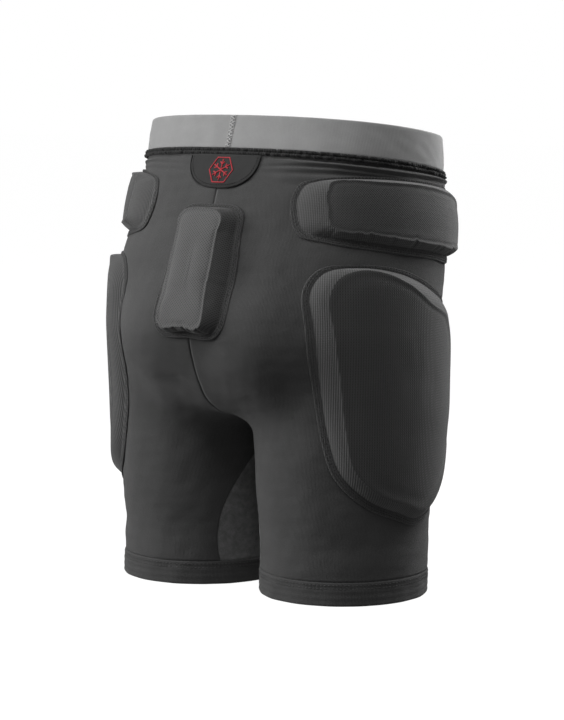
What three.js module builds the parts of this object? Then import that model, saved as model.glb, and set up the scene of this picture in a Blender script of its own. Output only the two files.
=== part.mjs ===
// Padded impact shorts: a knitted waistband, two side panels joined along the centre back, crotch and
// centre front, an inner-thigh panel and a hem on each leg, and five foam pads, each under a sewn cover.
// Millimetres, +Z up. The front faces -Y, the wearer's left is +X, and the hems stand on Z = 0.
import * as THREE from "three";

// ---- Driving sizes: the shorts as worn, measured on their outer face ----
const INSEAM = 149; // crotch above the hems
const RISE = 291; // top edge of the waistband above the crotch, at the sides
const WAIST_TILT = 0.163; // how much the waist rises towards the back, mm per mm
const WAIST_HALF_WIDTH = 158;
const WAIST_TO_BACK = 95; // reach behind the side line at the waist
const WAIST_TO_FRONT = 103; // reach ahead of the side line at the waist
const HIP_HALF_WIDTH = 165;
const SEAT_TO_BACK = 158.5;
const BELLY_TO_FRONT = 117;
const WAIST_SQUARENESS = 0.25; // how much fuller than an ellipse the back of the waist is
const LEG_APART = 85; // centre of each leg from the middle of the shorts
const HEM_RADIUS = 80; // leg opening, across
const HEM_RADIUS_DEEP = 81.5; // leg opening, front to back
const THIGH_RADIUS = 85;
const THIGH_RADIUS_DEEP = 91.5;

const BAND_HEIGHT = 34; // knitted waistband
const BAND_THICK = 2.4;
const BAND_PROUD = 0.4; // outer face of the waistband, outside the panels
const FABRIC = 2; // side and inner-thigh panels
const HEM_HEIGHT = 22;
const HEM_THICK = 3;
const HEM_PROUD = 0.8;
const GAP = 0.3; // between pieces that touch
const THREAD = 0.6; // height of a row of stitching
const SEAM_HALF_WIDTH = 2.5; // flat seam inside the centre line
const CROTCH_OPENING = 6; // half the width of the inner-thigh panels at the crotch
const INSERT_TOP_ANGLE = 5; // half angle that an inner-thigh panel spans at the crotch, degrees
const INSERT_WIDE_ANGLE = 43; // and where it is widest
const INSERT_WIDE_HEIGHT = 48; // the height of that place above the hem

const PAD_SEAT = 1.3; // under a pad, so that its facets clear the facets of the panel
const COVER = 1.2; // pad cover cloth
const FLANGE = 7; // flat sewn border of a pad cover
const HIP_PAD_HEIGHT = 10.5;
const THIGH_PAD_HEIGHT = 10.5;
const TAIL_PAD_HEIGHT = 15;
const PAD_BEVEL = 15; // width of the sloping edge inside the flange
const PAD_SHOULDER = 3; // run of the steep foot of that edge
const SHOULDER_SHARE = 0.45; // part of the pad's height that the steep foot takes
const PAD_CROWN = 0.5; // how far the face of a pad rises from its edge to its middle
const PAD_AXIS_X = 70; // upright axis that the hip and thigh pads wrap round
const PAD_AXIS_Y = 20;
const PAD_WRAP_RADIUS = 97; // turns a distance round the hip into an angle

const LABEL_HALF_WIDTH = 42;
const LABEL_DEPTH = 32;
const LABEL_THICK = 1;
const LABEL_TOP = 7; // below the waist seam
const MOTIF_RADIUS = 14;
const MOTIF_LINE = 2.2;

// ---- Body form ----
// Each level is measured from the crotch, as a part of the rise.
const trunkLevel = (part) => INSEAM + part * RISE;
const TRUNK = [
  { z: trunkLevel(-0.1), width: HIP_HALF_WIDTH - 29, back: SEAT_TO_BACK - 56.5, front: BELLY_TO_FRONT - 49 },
  { z: trunkLevel(0.055), width: HIP_HALF_WIDTH - 20, back: SEAT_TO_BACK - 40.5, front: BELLY_TO_FRONT - 35 },
  { z: trunkLevel(0.175), width: HIP_HALF_WIDTH - 14, back: SEAT_TO_BACK - 16.5, front: BELLY_TO_FRONT - 25 },
  { z: trunkLevel(0.33), width: HIP_HALF_WIDTH - 8, back: SEAT_TO_BACK, front: BELLY_TO_FRONT - 13 },
  { z: trunkLevel(0.416), width: HIP_HALF_WIDTH - 5.5, back: SEAT_TO_BACK - 2.5, front: BELLY_TO_FRONT - 8 },
  { z: trunkLevel(0.519), width: HIP_HALF_WIDTH - 2.5, back: SEAT_TO_BACK - 10.5, front: BELLY_TO_FRONT - 3 },
  { z: trunkLevel(0.656), width: HIP_HALF_WIDTH, back: SEAT_TO_BACK - 24.5, front: BELLY_TO_FRONT },
  { z: trunkLevel(0.845), width: WAIST_HALF_WIDTH + 1, back: WAIST_TO_BACK + 18.5, front: WAIST_TO_FRONT + 10 },
  { z: trunkLevel(1), width: WAIST_HALF_WIDTH, back: WAIST_TO_BACK, front: WAIST_TO_FRONT },
  { z: trunkLevel(1.103), width: WAIST_HALF_WIDTH - 0.5, back: WAIST_TO_BACK - 7, front: WAIST_TO_FRONT - 5 },
];
const SQUARE_FROM = trunkLevel(0.553); // the back of the trunk is an ellipse below this height
const SQUARE_RUN = 0.24 * RISE; // and has its full squareness this far above it
const legLevel = (part) => part * INSEAM;
const LEG = [
  { z: legLevel(-0.067), x: LEG_APART + 1.2, y: 33, across: HEM_RADIUS - 0.5, deep: HEM_RADIUS_DEEP - 0.5 },
  { z: legLevel(0.336), x: LEG_APART + 0.6, y: 31, across: HEM_RADIUS, deep: HEM_RADIUS_DEEP + 0.5 },
  { z: legLevel(0.705), x: LEG_APART, y: 30, across: THIGH_RADIUS - 2.5, deep: THIGH_RADIUS_DEEP - 4 },
  { z: legLevel(1.174), x: LEG_APART - 1, y: 27.5, across: THIGH_RADIUS, deep: THIGH_RADIUS_DEEP },
  { z: legLevel(2.01), x: LEG_APART - 5, y: 27, across: THIGH_RADIUS - 1, deep: THIGH_RADIUS_DEEP + 1.5 },
];
const TRUNK_END = trunkLevel(0.07); // the trunk's own form closes here, inside the legs
const LEG_END = trunkLevel(0.62); // and a leg's form closes here, inside the trunk
const BUTTOCK_CENTRE = { x: 56, y: 88, z: trunkLevel(0.333) };
const BUTTOCK_RADIUS = { x: 56, y: SEAT_TO_BACK - 89.5, z: 60 };
const BLEND = 24; // how softly the trunk, legs and buttocks run into each other

// A smooth curve through the levels: cubic Hermite, with slopes from the neighbours.
function profile(levels, key) {
  const last = levels.length - 1;
  const slopes = levels.map((level, i) => {
    const a = levels[Math.max(i - 1, 0)];
    const b = levels[Math.min(i + 1, last)];
    return (b[key] - a[key]) / (b.z - a.z);
  });
  return (height) => {
    const z = THREE.MathUtils.clamp(height, levels[0].z, levels[last].z);
    let i = 0;
    while (i < last - 1 && z > levels[i + 1].z) i += 1;
    const span = levels[i + 1].z - levels[i].z;
    const t = (z - levels[i].z) / span;
    const start = (2 * t ** 3 - 3 * t ** 2 + 1) * levels[i][key];
    const end = (3 * t ** 2 - 2 * t ** 3) * levels[i + 1][key];
    const leaving = (t ** 3 - 2 * t ** 2 + t) * span * slopes[i];
    const arriving = (t ** 3 - t ** 2) * span * slopes[i + 1];
    return start + leaving + end + arriving;
  };
}
const trunkWidth = profile(TRUNK, "width");
const trunkBack = profile(TRUNK, "back");
const trunkFront = profile(TRUNK, "front");
const legX = profile(LEG, "x");
const legY = profile(LEG, "y");
const legAcross = profile(LEG, "across");
const legDeep = profile(LEG, "deep");

function smoothMin(a, b, soft) {
  const h = THREE.MathUtils.clamp(0.5 + (0.5 * (b - a)) / soft, 0, 1);
  return b * (1 - h) + a * h - soft * h * (1 - h);
}
const smoothMax = (a, b, soft) => -smoothMin(-a, -b, soft);

// Less than zero inside the body form, zero on the outer face of the shorts.
function field(p) {
  const x = Math.abs(p.x);
  const width = trunkWidth(p.z);
  const depth = (trunkBack(p.z) + trunkFront(p.z)) / 2;
  const middle = (trunkBack(p.z) - trunkFront(p.z)) / 2;
  const behind = p.y > middle ? THREE.MathUtils.clamp((p.z - SQUARE_FROM) / SQUARE_RUN, 0, 1) : 0;
  const power = 2 + WAIST_SQUARENESS * behind;
  const trunkRing = ((x / width) ** power + Math.abs((p.y - middle) / depth) ** power) ** (1 / power);
  const trunkSide = (trunkRing - 1) * Math.min(width, depth);
  const trunk = smoothMax(trunkSide, TRUNK_END - p.z, 30);
  const across = legAcross(p.z);
  const deep = legDeep(p.z);
  const legRing = Math.hypot((x - legX(p.z)) / across, (p.y - legY(p.z)) / deep);
  const leg = smoothMax((legRing - 1) * Math.min(across, deep), p.z - LEG_END, 40);
  const round = Math.hypot(
    (x - BUTTOCK_CENTRE.x) / BUTTOCK_RADIUS.x,
    (p.y - BUTTOCK_CENTRE.y) / BUTTOCK_RADIUS.y,
    (p.z - BUTTOCK_CENTRE.z) / BUTTOCK_RADIUS.z,
  );
  const buttock = (round - 1) * BUTTOCK_RADIUS.z;
  return smoothMin(smoothMin(trunk, leg, BLEND), buttock, BLEND);
}

function outward(p) {
  const step = 0.5;
  const slope = (axis) => {
    const ahead = p.clone();
    const behind = p.clone();
    ahead[axis] += step;
    behind[axis] -= step;
    return field(ahead) - field(behind);
  };
  return new THREE.Vector3(slope("x"), slope("y"), slope("z")).normalize();
}

// The first place where a line from inside the form leaves it, or leaves the left half where halved.
function cast(from, towards, halved = true) {
  const step = 2;
  const heading = towards.clone().normalize();
  const at = (distance) => from.clone().addScaledVector(heading, distance);
  const outside = (distance) => {
    const p = at(distance);
    return Math.max(field(p), halved ? -p.x : -1) > 0;
  };
  let far = step;
  while (!outside(far)) far += step;
  let near = far - step;
  for (let i = 0; i < 24; i += 1) {
    const middle = (near + far) / 2;
    if (outside(middle)) far = middle;
    else near = middle;
  }
  return at((near + far) / 2);
}

// ---- Closed solids from grids of surface places ----
// A place is { point, normal }. A piece stands between two distances along the normals.
const lift = (place, distance) => place.point.clone().addScaledVector(place.normal, distance);
const inPlane = (normal, planeNormal) => normal.clone().projectOnPlane(planeNormal).normalize();

function solid(points, faces) {
  const positions = points.flatMap((p) => [p.x, p.y, p.z]);
  let volume = 0;
  for (const [a, b, c] of faces) volume += points[a].dot(points[b].clone().cross(points[c]));
  const outFaces = volume < 0 ? faces.map(([a, b, c]) => [a, c, b]) : faces;
  const geometry = new THREE.BufferGeometry();
  geometry.setAttribute("position", new THREE.Float32BufferAttribute(positions, 3));
  geometry.setIndex(outFaces.flat());
  geometry.computeVertexNormals();
  return geometry;
}

// A sheet between two heights over rows of places; looped joins the last column to the first.
function sheet(rows, inner, outer, looped = false) {
  const count = rows.length;
  const width = rows[0].length;
  const columns = looped ? width : width - 1;
  const points = [outer, inner].flatMap((height) => rows.flat().map((place) => lift(place, height)));
  const out = (row, column) => row * width + (column % width);
  const within = (row, column) => count * width + out(row, column);
  const faces = [];
  const quad = (a, b, c, d) => faces.push([a, b, c], [a, c, d]);
  for (let c = 0; c < columns; c += 1) {
    for (let r = 0; r < count - 1; r += 1) {
      quad(out(r, c), out(r, c + 1), out(r + 1, c + 1), out(r + 1, c));
      quad(within(r, c), within(r + 1, c), within(r + 1, c + 1), within(r, c + 1));
    }
    quad(out(0, c), within(0, c), within(0, c + 1), out(0, c + 1));
    quad(out(count - 1, c), out(count - 1, c + 1), within(count - 1, c + 1), within(count - 1, c));
  }
  if (!looped) {
    for (let r = 0; r < count - 1; r += 1) {
      quad(out(r, 0), out(r + 1, 0), within(r + 1, 0), within(r, 0));
      quad(out(r, columns), within(r, columns), within(r + 1, columns), out(r + 1, columns));
    }
  }
  return solid(points, faces);
}

// ---- Loops round the waist and round a leg ----
const WAIST_TOP = INSEAM + RISE;
const WAIST_SEAM = WAIST_TOP - BAND_HEIGHT;
const WAIST_PLANE = new THREE.Vector3(0, -WAIST_TILT, 1).normalize();
const UP = new THREE.Vector3(0, 0, 1);
const turn = (i, count) => (i / count) * 2 * Math.PI;

function waistLoop(height, count) {
  return Array.from({ length: count }, (_, i) => {
    const angle = turn(i, count);
    const heading = new THREE.Vector3(Math.sin(angle), Math.cos(angle), WAIST_TILT * Math.cos(angle));
    const point = cast(new THREE.Vector3(0, 0, height), heading, false);
    return { point, normal: inPlane(outward(point), WAIST_PLANE) };
  });
}

function legLoop(height, count) {
  return Array.from({ length: count }, (_, i) => {
    const angle = turn(i, count);
    const heading = new THREE.Vector3(Math.sin(angle), Math.cos(angle), 0);
    const point = cast(new THREE.Vector3(legX(height), legY(height), height), heading);
    return { point, normal: inPlane(outward(point), UP) };
  });
}

// ---- Centre line: the form cut down the middle, from the waist seam to the crotch ----
function centreLine() {
  const inside = new THREE.Vector3(0, 15, trunkLevel(0.588));
  const line = [];
  for (let degrees = 80; degrees >= -260; degrees -= 0.5) {
    const angle = THREE.MathUtils.degToRad(degrees);
    line.push(cast(inside, new THREE.Vector3(0, Math.cos(angle), Math.sin(angle)), false));
  }
  return line;
}

function belowWaist(line) {
  const over = (p) => p.z - WAIST_TILT * p.y - WAIST_SEAM + GAP;
  const first = line.findIndex((p) => over(p) < 0);
  const share = over(line[first - 1]) / (over(line[first - 1]) - over(line[first]));
  return [line[first - 1].clone().lerp(line[first], share), ...line.slice(first)];
}

// The point a part of the way down a line, and the line's own length.
function lengths(line) {
  const total = [0];
  for (let i = 1; i < line.length; i += 1) total.push(total[i - 1] + line[i].distanceTo(line[i - 1]));
  return total;
}
function along(line, distance) {
  const total = lengths(line);
  let i = 1;
  while (i < line.length - 1 && total[i] < distance) i += 1;
  const share = (distance - total[i - 1]) / (total[i] - total[i - 1]);
  return line[i - 1].clone().lerp(line[i], share);
}

const middleLine = centreLine();
const lowest = middleLine.reduce((low, p, i) => (p.z < middleLine[low].z ? i : low), 0);
const backLine = belowWaist(middleLine.slice(0, lowest + 1));
const frontLine = belowWaist(middleLine.slice(lowest).reverse());
const CROTCH = middleLine[lowest];
const backLength = lengths(backLine).at(-1) - CROTCH_OPENING;
const frontLength = lengths(frontLine).at(-1) - CROTCH_OPENING;

// ---- Side panel of the left half: rows from the waist seam down to the hem ----
const TRUNK_ROWS = 12;
const LEG_ROWS = 6;
const PANEL_COLUMNS = 28;
const RELAX_ROUNDS = 40;

// Directions that turn evenly through a list of guides, one quarter of the row to each.
function fan(guides, part) {
  const place = part * (guides.length - 1);
  const index = Math.min(Math.floor(place), guides.length - 2);
  const a = guides[index].clone().normalize();
  const b = guides[index + 1].clone().normalize();
  const angle = a.angleTo(b);
  const share = place - index;
  return a
    .multiplyScalar(Math.sin((1 - share) * angle))
    .addScaledVector(b, Math.sin(share * angle))
    .divideScalar(Math.sin(angle));
}

function fanRow(centre, guides, columns, planeNormal) {
  return Array.from({ length: columns + 1 }, (_, i) => {
    const point = cast(centre, fan(guides, i / columns));
    const normal = planeNormal ? inPlane(outward(point), planeNormal) : outward(point);
    point.x = Math.max(point.x, GAP / 2);
    return { point, normal };
  });
}

function trunkRow(i) {
  const down = i / TRUNK_ROWS;
  const back = along(backLine, backLength * down);
  const front = along(frontLine, frontLength * down);
  const tilt = WAIST_TILT * (1 - down);
  const x = THREE.MathUtils.lerp(PAD_AXIS_X + 5, LEG_APART - 1, down);
  const y = THREE.MathUtils.lerp(5, 32, down);
  const z = THREE.MathUtils.lerp(WAIST_SEAM - GAP, CROTCH.z, down) + tilt * y;
  const centre = new THREE.Vector3(x, y, z);
  const guides = [
    back.sub(centre),
    new THREE.Vector3(0, 1, tilt),
    new THREE.Vector3(1, 0, 0),
    new THREE.Vector3(0, -1, -tilt),
    front.sub(centre),
  ];
  return fanRow(centre, guides, PANEL_COLUMNS, i === 0 ? WAIST_PLANE : null);
}

// Half the angle that the inner-thigh panel spans at a height.
function insertAngle(z) {
  const down = (CROTCH.z - z) / (CROTCH.z - INSERT_WIDE_HEIGHT);
  const spread = Math.sin((down * Math.PI) / 2);
  return THREE.MathUtils.degToRad(THREE.MathUtils.lerp(INSERT_TOP_ANGLE, INSERT_WIDE_ANGLE, spread));
}
const inwards = (angle) => new THREE.Vector3(-Math.cos(angle), Math.sin(angle), 0);
const legRowHeight = (j) => THREE.MathUtils.lerp(CROTCH.z, HEM_HEIGHT + GAP, j / LEG_ROWS);

function legRow(j) {
  const z = legRowHeight(j);
  const centre = new THREE.Vector3(legX(z), legY(z), z);
  const angle = insertAngle(z);
  const guides = [
    inwards(angle),
    new THREE.Vector3(0, 1, 0),
    new THREE.Vector3(1, 0, 0),
    new THREE.Vector3(0, -1, 0),
    inwards(-angle),
  ];
  return fanRow(centre, guides, PANEL_COLUMNS, j === LEG_ROWS ? UP : null);
}

const panelRows = [];
for (let i = 0; i <= TRUNK_ROWS; i += 1) panelRows.push(trunkRow(i));
for (let j = 1; j <= LEG_ROWS; j += 1) panelRows.push(legRow(j));

// Evens out the places inside the panel's edges, and puts each one back on the form.
function relax(rows, rounds) {
  for (let round = 0; round < rounds; round += 1) {
    for (let r = 1; r < rows.length - 1; r += 1) {
      for (let c = 1; c < rows[r].length - 1; c += 1) {
        const point = new THREE.Vector3();
        for (const near of [rows[r - 1][c], rows[r + 1][c], rows[r][c - 1], rows[r][c + 1]]) {
          point.addScaledVector(near.point, 0.25);
        }
        const normal = outward(point);
        for (let step = 0; step < 2; step += 1) point.addScaledVector(normal, -field(point));
        point.x = Math.max(point.x, GAP / 2);
        rows[r][c] = { point, normal: outward(point) };
      }
    }
  }
}
relax(panelRows, RELAX_ROUNDS);

// ---- Inner-thigh panel: from the crotch seam down to the hem ----
const INSERT_COLUMNS = 6;
function insertRow(j) {
  if (j === 0) {
    return Array.from({ length: INSERT_COLUMNS + 1 }, (_, i) => {
      const reach = THREE.MathUtils.lerp(CROTCH_OPENING - GAP, GAP - CROTCH_OPENING, i / INSERT_COLUMNS);
      const line = reach > 0 ? backLine : frontLine;
      const point = along(line, lengths(line).at(-1) - Math.abs(reach));
      const normal = outward(point);
      point.x = GAP / 2;
      return { point, normal };
    });
  }
  const z = legRowHeight(j);
  const centre = new THREE.Vector3(legX(z), legY(z), z);
  const angle = insertAngle(z) - GAP / HEM_RADIUS;
  const guides = [inwards(angle), inwards(0), inwards(-angle)];
  return fanRow(centre, guides, INSERT_COLUMNS, j === LEG_ROWS ? UP : null);
}
const insertRows = Array.from({ length: LEG_ROWS + 1 }, (_, j) => insertRow(j));

// ---- Flat seams inside the centre line ----
function centreSeam(line, length) {
  const rows = Array.from({ length: TRUNK_ROWS + 1 }, (_, i) => {
    const point = along(line, Math.max((length * i) / TRUNK_ROWS, GAP));
    const normal = outward(point);
    return [-SEAM_HALF_WIDTH, SEAM_HALF_WIDTH].map((x) => ({ point: point.clone().setX(x), normal }));
  });
  const top = -FABRIC - 4 * GAP;
  return sheet(rows, top - THREAD, top);
}

// ---- Patches: places on the surface from a distance round and a height ----
// Round the hip of the left half: u runs from behind round the outside, z is the height.
function hipPlace(u, z) {
  const angle = u / PAD_WRAP_RADIUS;
  const axis = new THREE.Vector3(PAD_AXIS_X, PAD_AXIS_Y, z);
  const point = cast(axis, new THREE.Vector3(Math.sin(angle), Math.cos(angle), 0));
  return { point, normal: outward(point) };
}

// Across the back: x is the distance from the centre line. A pad bridges the hollow between the buttocks.
const TAIL_HALF_WIDTH = 44;
function backPlace(x, z) {
  const reach = (across) => cast(new THREE.Vector3(across, 15, z), new THREE.Vector3(0, 1, 0), false);
  const point = reach(x);
  const bridge = reach(Math.sign(x || 1) * TAIL_HALF_WIDTH);
  point.y = Math.max(point.y, bridge.y);
  const above = cast(new THREE.Vector3(x, 15, z + 4), new THREE.Vector3(0, 1, 0), false);
  const below = cast(new THREE.Vector3(x, 15, z - 4), new THREE.Vector3(0, 1, 0), false);
  const rise = above.sub(below);
  const lean = (outward(bridge).x * x) / TAIL_HALF_WIDTH;
  return { point, normal: new THREE.Vector3(Math.abs(lean) * Math.sign(x) * 0.5, rise.z, -rise.y).normalize() };
}

// Below the waist seam at the centre back: x across, drop down the slope of the waist.
function labelPlace(x, drop) {
  const start = new THREE.Vector3(x, 15, WAIST_SEAM - drop + WAIST_TILT * 15);
  const point = cast(start, new THREE.Vector3(0, 1, WAIST_TILT), false);
  return { point, normal: outward(point) };
}

// ---- Rings inside a closed outline, each a distance in from it towards a spine ----
function outlineOf(pad) {
  const curve = new THREE.CatmullRomCurve3(
    pad.corners.map(([u, v]) => new THREE.Vector3(u, v, 0)),
    true,
  );
  return curve.getSpacedPoints(pad.count).slice(0, pad.count);
}
const spineOf = (pad) =>
  new THREE.Line3(new THREE.Vector3(...pad.spine[0], 0), new THREE.Vector3(...pad.spine[1], 0));

function ringsOf(pad, insets) {
  const spine = spineOf(pad);
  return insets.map((inset) =>
    outlineOf(pad).map((edge) => {
      const foot = spine.closestPointToPoint(edge, true, new THREE.Vector3());
      const share = Math.min(inset / edge.distanceTo(foot), 0.92);
      return edge.clone().lerp(foot, share);
    }),
  );
}

// Knots along the spine, no closer together than the outline's own points, and each point's knot.
function spineKnots(pad) {
  const spine = spineOf(pad);
  const outline = outlineOf(pad);
  const widest = Math.max(...outline.map((q, i) => q.distanceTo(outline[(i + 1) % pad.count])));
  const steps = Math.max(Math.floor(spine.distance() / (1.05 * widest)), 1);
  const knots = Array.from({ length: steps + 1 }, (_, k) => spine.at(k / steps, new THREE.Vector3()));
  const nearest = outline.map((q) => Math.round(spine.closestPointToPointParameter(q, true) * steps));
  return { knots, nearest };
}

// A closed solid between heights above the surface, one for each ring and the last for the spine.
function capped(pad, insets, topHeights, underHeights) {
  const count = pad.count;
  const { knots, nearest } = spineKnots(pad);
  const stations = [...ringsOf(pad, insets), knots].map((row) => row.map((q) => pad.place(q.x, q.y)));
  const side = (heights) => stations.flatMap((row, r) => row.map((place) => lift(place, heights[r])));
  const points = [...side(topHeights), ...side(underHeights)];
  const under = points.length / 2;
  const faces = [];
  const both = (a, b, c) => faces.push([a, b, c], [under + a, under + c, under + b]);
  for (let i = 0; i < count; i += 1) {
    const next = (i + 1) % count;
    for (let r = 0; r < insets.length - 1; r += 1) {
      both(r * count + i, r * count + next, (r + 1) * count + next);
      both(r * count + i, (r + 1) * count + next, (r + 1) * count + i);
    }
    const last = (insets.length - 1) * count;
    const [here, there] = [nearest[i], nearest[next]].map((knot) => insets.length * count + knot);
    both(last + i, last + next, there);
    if (here !== there) both(last + i, there, here);
    faces.push([i, under + i, under + next], [i, under + next, next]);
  }
  return solid(points, faces);
}

// A flat band that follows the outline between two insets.
function border(pad, from, to, inner, outer) {
  const rows = ringsOf(pad, [from, to]).map((ring) => ring.map((q) => pad.place(q.x, q.y)));
  return sheet(rows, inner, outer, true);
}

// ---- Pads: outline corners as [distance round, height], and the spine that the rings close on ----
const hipZ = (belowWaist) => WAIST_SEAM - belowWaist;
const HIP_PAD = {
  place: hipPlace,
  count: 36,
  height: HIP_PAD_HEIGHT,
  rings: [],
  spine: [
    [44, hipZ(39)],
    [226, hipZ(56)],
  ],
  corners: [
    [12, hipZ(29)],
    [19, hipZ(14)],
    [51, hipZ(10)],
    [110, hipZ(10)],
    [176, hipZ(17)],
    [228, hipZ(25)],
    [254, hipZ(38)],
    [261, hipZ(66)],
    [246, hipZ(90)],
    [212, hipZ(93)],
    [162, hipZ(85)],
    [102, hipZ(76)],
    [52, hipZ(68)],
    [22, hipZ(59)],
  ],
};
const HIP_TO_THIGH_PAD = 11;
const thighTop = hipZ(76) - HIP_TO_THIGH_PAD;
const THIGH_PAD_BOTTOM = 71;
const thighZ = (part) => THREE.MathUtils.lerp(THIGH_PAD_BOTTOM, thighTop, part);
const THIGH_PAD = {
  place: hipPlace,
  count: 38,
  height: THIGH_PAD_HEIGHT,
  rings: [42, 60, 78],
  spine: [
    [128, thighZ(0.74)],
    [146, thighZ(0.4)],
  ],
  corners: [
    [78, thighZ(1)],
    [46, thighZ(0.985)],
    [33, thighZ(0.91)],
    [36, thighZ(0.76)],
    [40, thighZ(0.56)],
    [47, thighZ(0.35)],
    [59, thighZ(0.2)],
    [86, thighZ(0.09)],
    [116, thighZ(0.035)],
    [144, thighZ(0)],
    [186, thighZ(0.08)],
    [216, thighZ(0.23)],
    [233, thighZ(0.44)],
    [235, thighZ(0.65)],
    [214, thighZ(0.8)],
    [169, thighZ(0.9)],
    [121, thighZ(0.98)],
  ],
};
const TAIL_TOP = trunkLevel(0.766);
const TAIL_BOTTOM = trunkLevel(0.345);
const TAIL_PAD = {
  place: backPlace,
  count: 28,
  height: TAIL_PAD_HEIGHT,
  rings: [],
  spine: [
    [0, TAIL_TOP - 36],
    [0, TAIL_BOTTOM + 38],
  ],
  corners: [
    [0, TAIL_TOP],
    [TAIL_HALF_WIDTH - 18, TAIL_TOP - 1],
    [TAIL_HALF_WIDTH - 7, TAIL_TOP - 8],
    [TAIL_HALF_WIDTH - 4, TAIL_TOP - 30],
    [TAIL_HALF_WIDTH, TAIL_BOTTOM + 42],
    [TAIL_HALF_WIDTH - 1, TAIL_BOTTOM + 12],
    [TAIL_HALF_WIDTH - 12, TAIL_BOTTOM],
    [0, TAIL_BOTTOM - 1],
    [12 - TAIL_HALF_WIDTH, TAIL_BOTTOM],
    [1 - TAIL_HALF_WIDTH, TAIL_BOTTOM + 12],
    [-TAIL_HALF_WIDTH, TAIL_BOTTOM + 42],
    [4 - TAIL_HALF_WIDTH, TAIL_TOP - 30],
    [7 - TAIL_HALF_WIDTH, TAIL_TOP - 8],
    [18 - TAIL_HALF_WIDTH, TAIL_TOP - 1],
  ],
};

function coverGeometry(pad) {
  const face = FLANGE + PAD_BEVEL;
  const insets = [0, FLANGE, FLANGE + PAD_SHOULDER, face, ...pad.rings];
  const crowned = [...pad.rings, 0].map(() => pad.height + PAD_CROWN);
  const outer = [COVER, COVER, pad.height * SHOULDER_SHARE, pad.height, ...crowned].map((h) => h + PAD_SEAT);
  const inner = outer.map((h) => h - COVER);
  return capped(pad, insets, outer, inner);
}

function foamGeometry(pad) {
  const face = FLANGE + PAD_BEVEL;
  const insets = [FLANGE + PAD_SHOULDER, face, ...pad.rings];
  const under = COVER + 2 * GAP;
  const crowned = [...pad.rings, 0].map(() => pad.height + PAD_CROWN - under);
  const shoulder = pad.height * SHOULDER_SHARE - under - GAP;
  const top = [shoulder, pad.height - under, ...crowned].map((h) => h + PAD_SEAT);
  return capped(pad, insets, top, Array(top.length).fill(PAD_SEAT));
}

const stitchGeometry = (pad) =>
  border(pad, 2, FLANGE - 2, PAD_SEAT + COVER + GAP, PAD_SEAT + COVER + GAP + THREAD);

// ---- Label: a half-round patch under the waist seam, its piping and a motif ----
const LABEL_SPAN = 14;
const labelCorners = Array.from({ length: LABEL_SPAN + 1 }, (_, i) => {
  const angle = (i / LABEL_SPAN) * Math.PI;
  const round = 2 / 2.4;
  const x = Math.sign(Math.cos(angle)) * Math.abs(Math.cos(angle)) ** round;
  return [x * LABEL_HALF_WIDTH, LABEL_TOP + LABEL_DEPTH * Math.sin(angle) ** round];
});
const LABEL = {
  place: labelPlace,
  count: 30,
  spine: [
    [-18, LABEL_TOP + 14],
    [18, LABEL_TOP + 14],
  ],
  corners: [
    ...labelCorners,
    [-LABEL_HALF_WIDTH / 2, LABEL_TOP - 1],
    [0, LABEL_TOP - 1],
    [LABEL_HALF_WIDTH / 2, LABEL_TOP - 1],
  ],
};
const LABEL_SEAT = 2 * GAP;
const labelTopHeight = LABEL_SEAT + LABEL_THICK;
const labelGeometry = capped(LABEL, [0, 8], Array(3).fill(labelTopHeight), Array(3).fill(LABEL_SEAT));
const pipingGeometry = border(LABEL, 0.4, 2.4, labelTopHeight + GAP, labelTopHeight + GAP + THREAD);

// A hexagon joined to six arms, bent on to the label.
function motifGeometry() {
  const corner = (radius, degrees) => {
    const angle = THREE.MathUtils.degToRad(degrees);
    return new THREE.Vector2(radius * Math.cos(angle), radius * Math.sin(angle));
  };
  const shape = new THREE.Shape([0, 60, 120, 180, 240, 300].map((degrees) => corner(MOTIF_RADIUS, degrees)));
  const apex = MOTIF_LINE; // where two arms' edges meet
  const reach = MOTIF_RADIUS - 2 * MOTIF_LINE;
  for (let side = 0; side < 6; side += 1) {
    const middle = side * 60 + 30;
    const hole = [corner(apex, middle), corner(reach, middle - 20), corner(reach, middle + 20)];
    shape.holes.push(new THREE.Path(hole));
  }
  const flat = new THREE.ExtrudeGeometry(shape, { depth: THREAD, bevelEnabled: false, curveSegments: 4 });
  const position = flat.getAttribute("position");
  const seat = labelTopHeight + GAP;
  const middleDrop = LABEL_TOP + LABEL_DEPTH / 2 - 2;
  for (let i = 0; i < position.count; i += 1) {
    const place = labelPlace(-position.getX(i), middleDrop - position.getY(i));
    const p = lift(place, seat + position.getZ(i));
    position.setXYZ(i, p.x, p.y, p.z);
  }
  flat.computeVertexNormals();
  return flat;
}

// ---- Waistband, hems and their stitching ----
const WAIST_COLUMNS = 64;
const HEM_COLUMNS = 36;
const bandRows = [WAIST_TOP, WAIST_SEAM + GAP].map((height) => waistLoop(height, WAIST_COLUMNS));
const waistStitchRows = [WAIST_SEAM + 1.5, WAIST_SEAM - 3.5].map((height) => waistLoop(height, WAIST_COLUMNS));
const hemRows = [HEM_HEIGHT, 0].map((height) => legLoop(height, HEM_COLUMNS));
const hemStitchRows = [HEM_HEIGHT - 1, HEM_HEIGHT - 5].map((height) => legLoop(height, HEM_COLUMNS));

const JOIN_HALF_WIDTH = 2.5;
const joinRows = [WAIST_TOP - 1, WAIST_SEAM + 3].map((height) =>
  [-JOIN_HALF_WIDTH, JOIN_HALF_WIDTH].map((x) => {
    const heading = new THREE.Vector3(0, 1, WAIST_TILT);
    const point = cast(new THREE.Vector3(x, 0, height), heading, false);
    return { point, normal: inPlane(outward(point), WAIST_PLANE) };
  }),
);
const joinSeat = BAND_PROUD + 2 * GAP;

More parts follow.
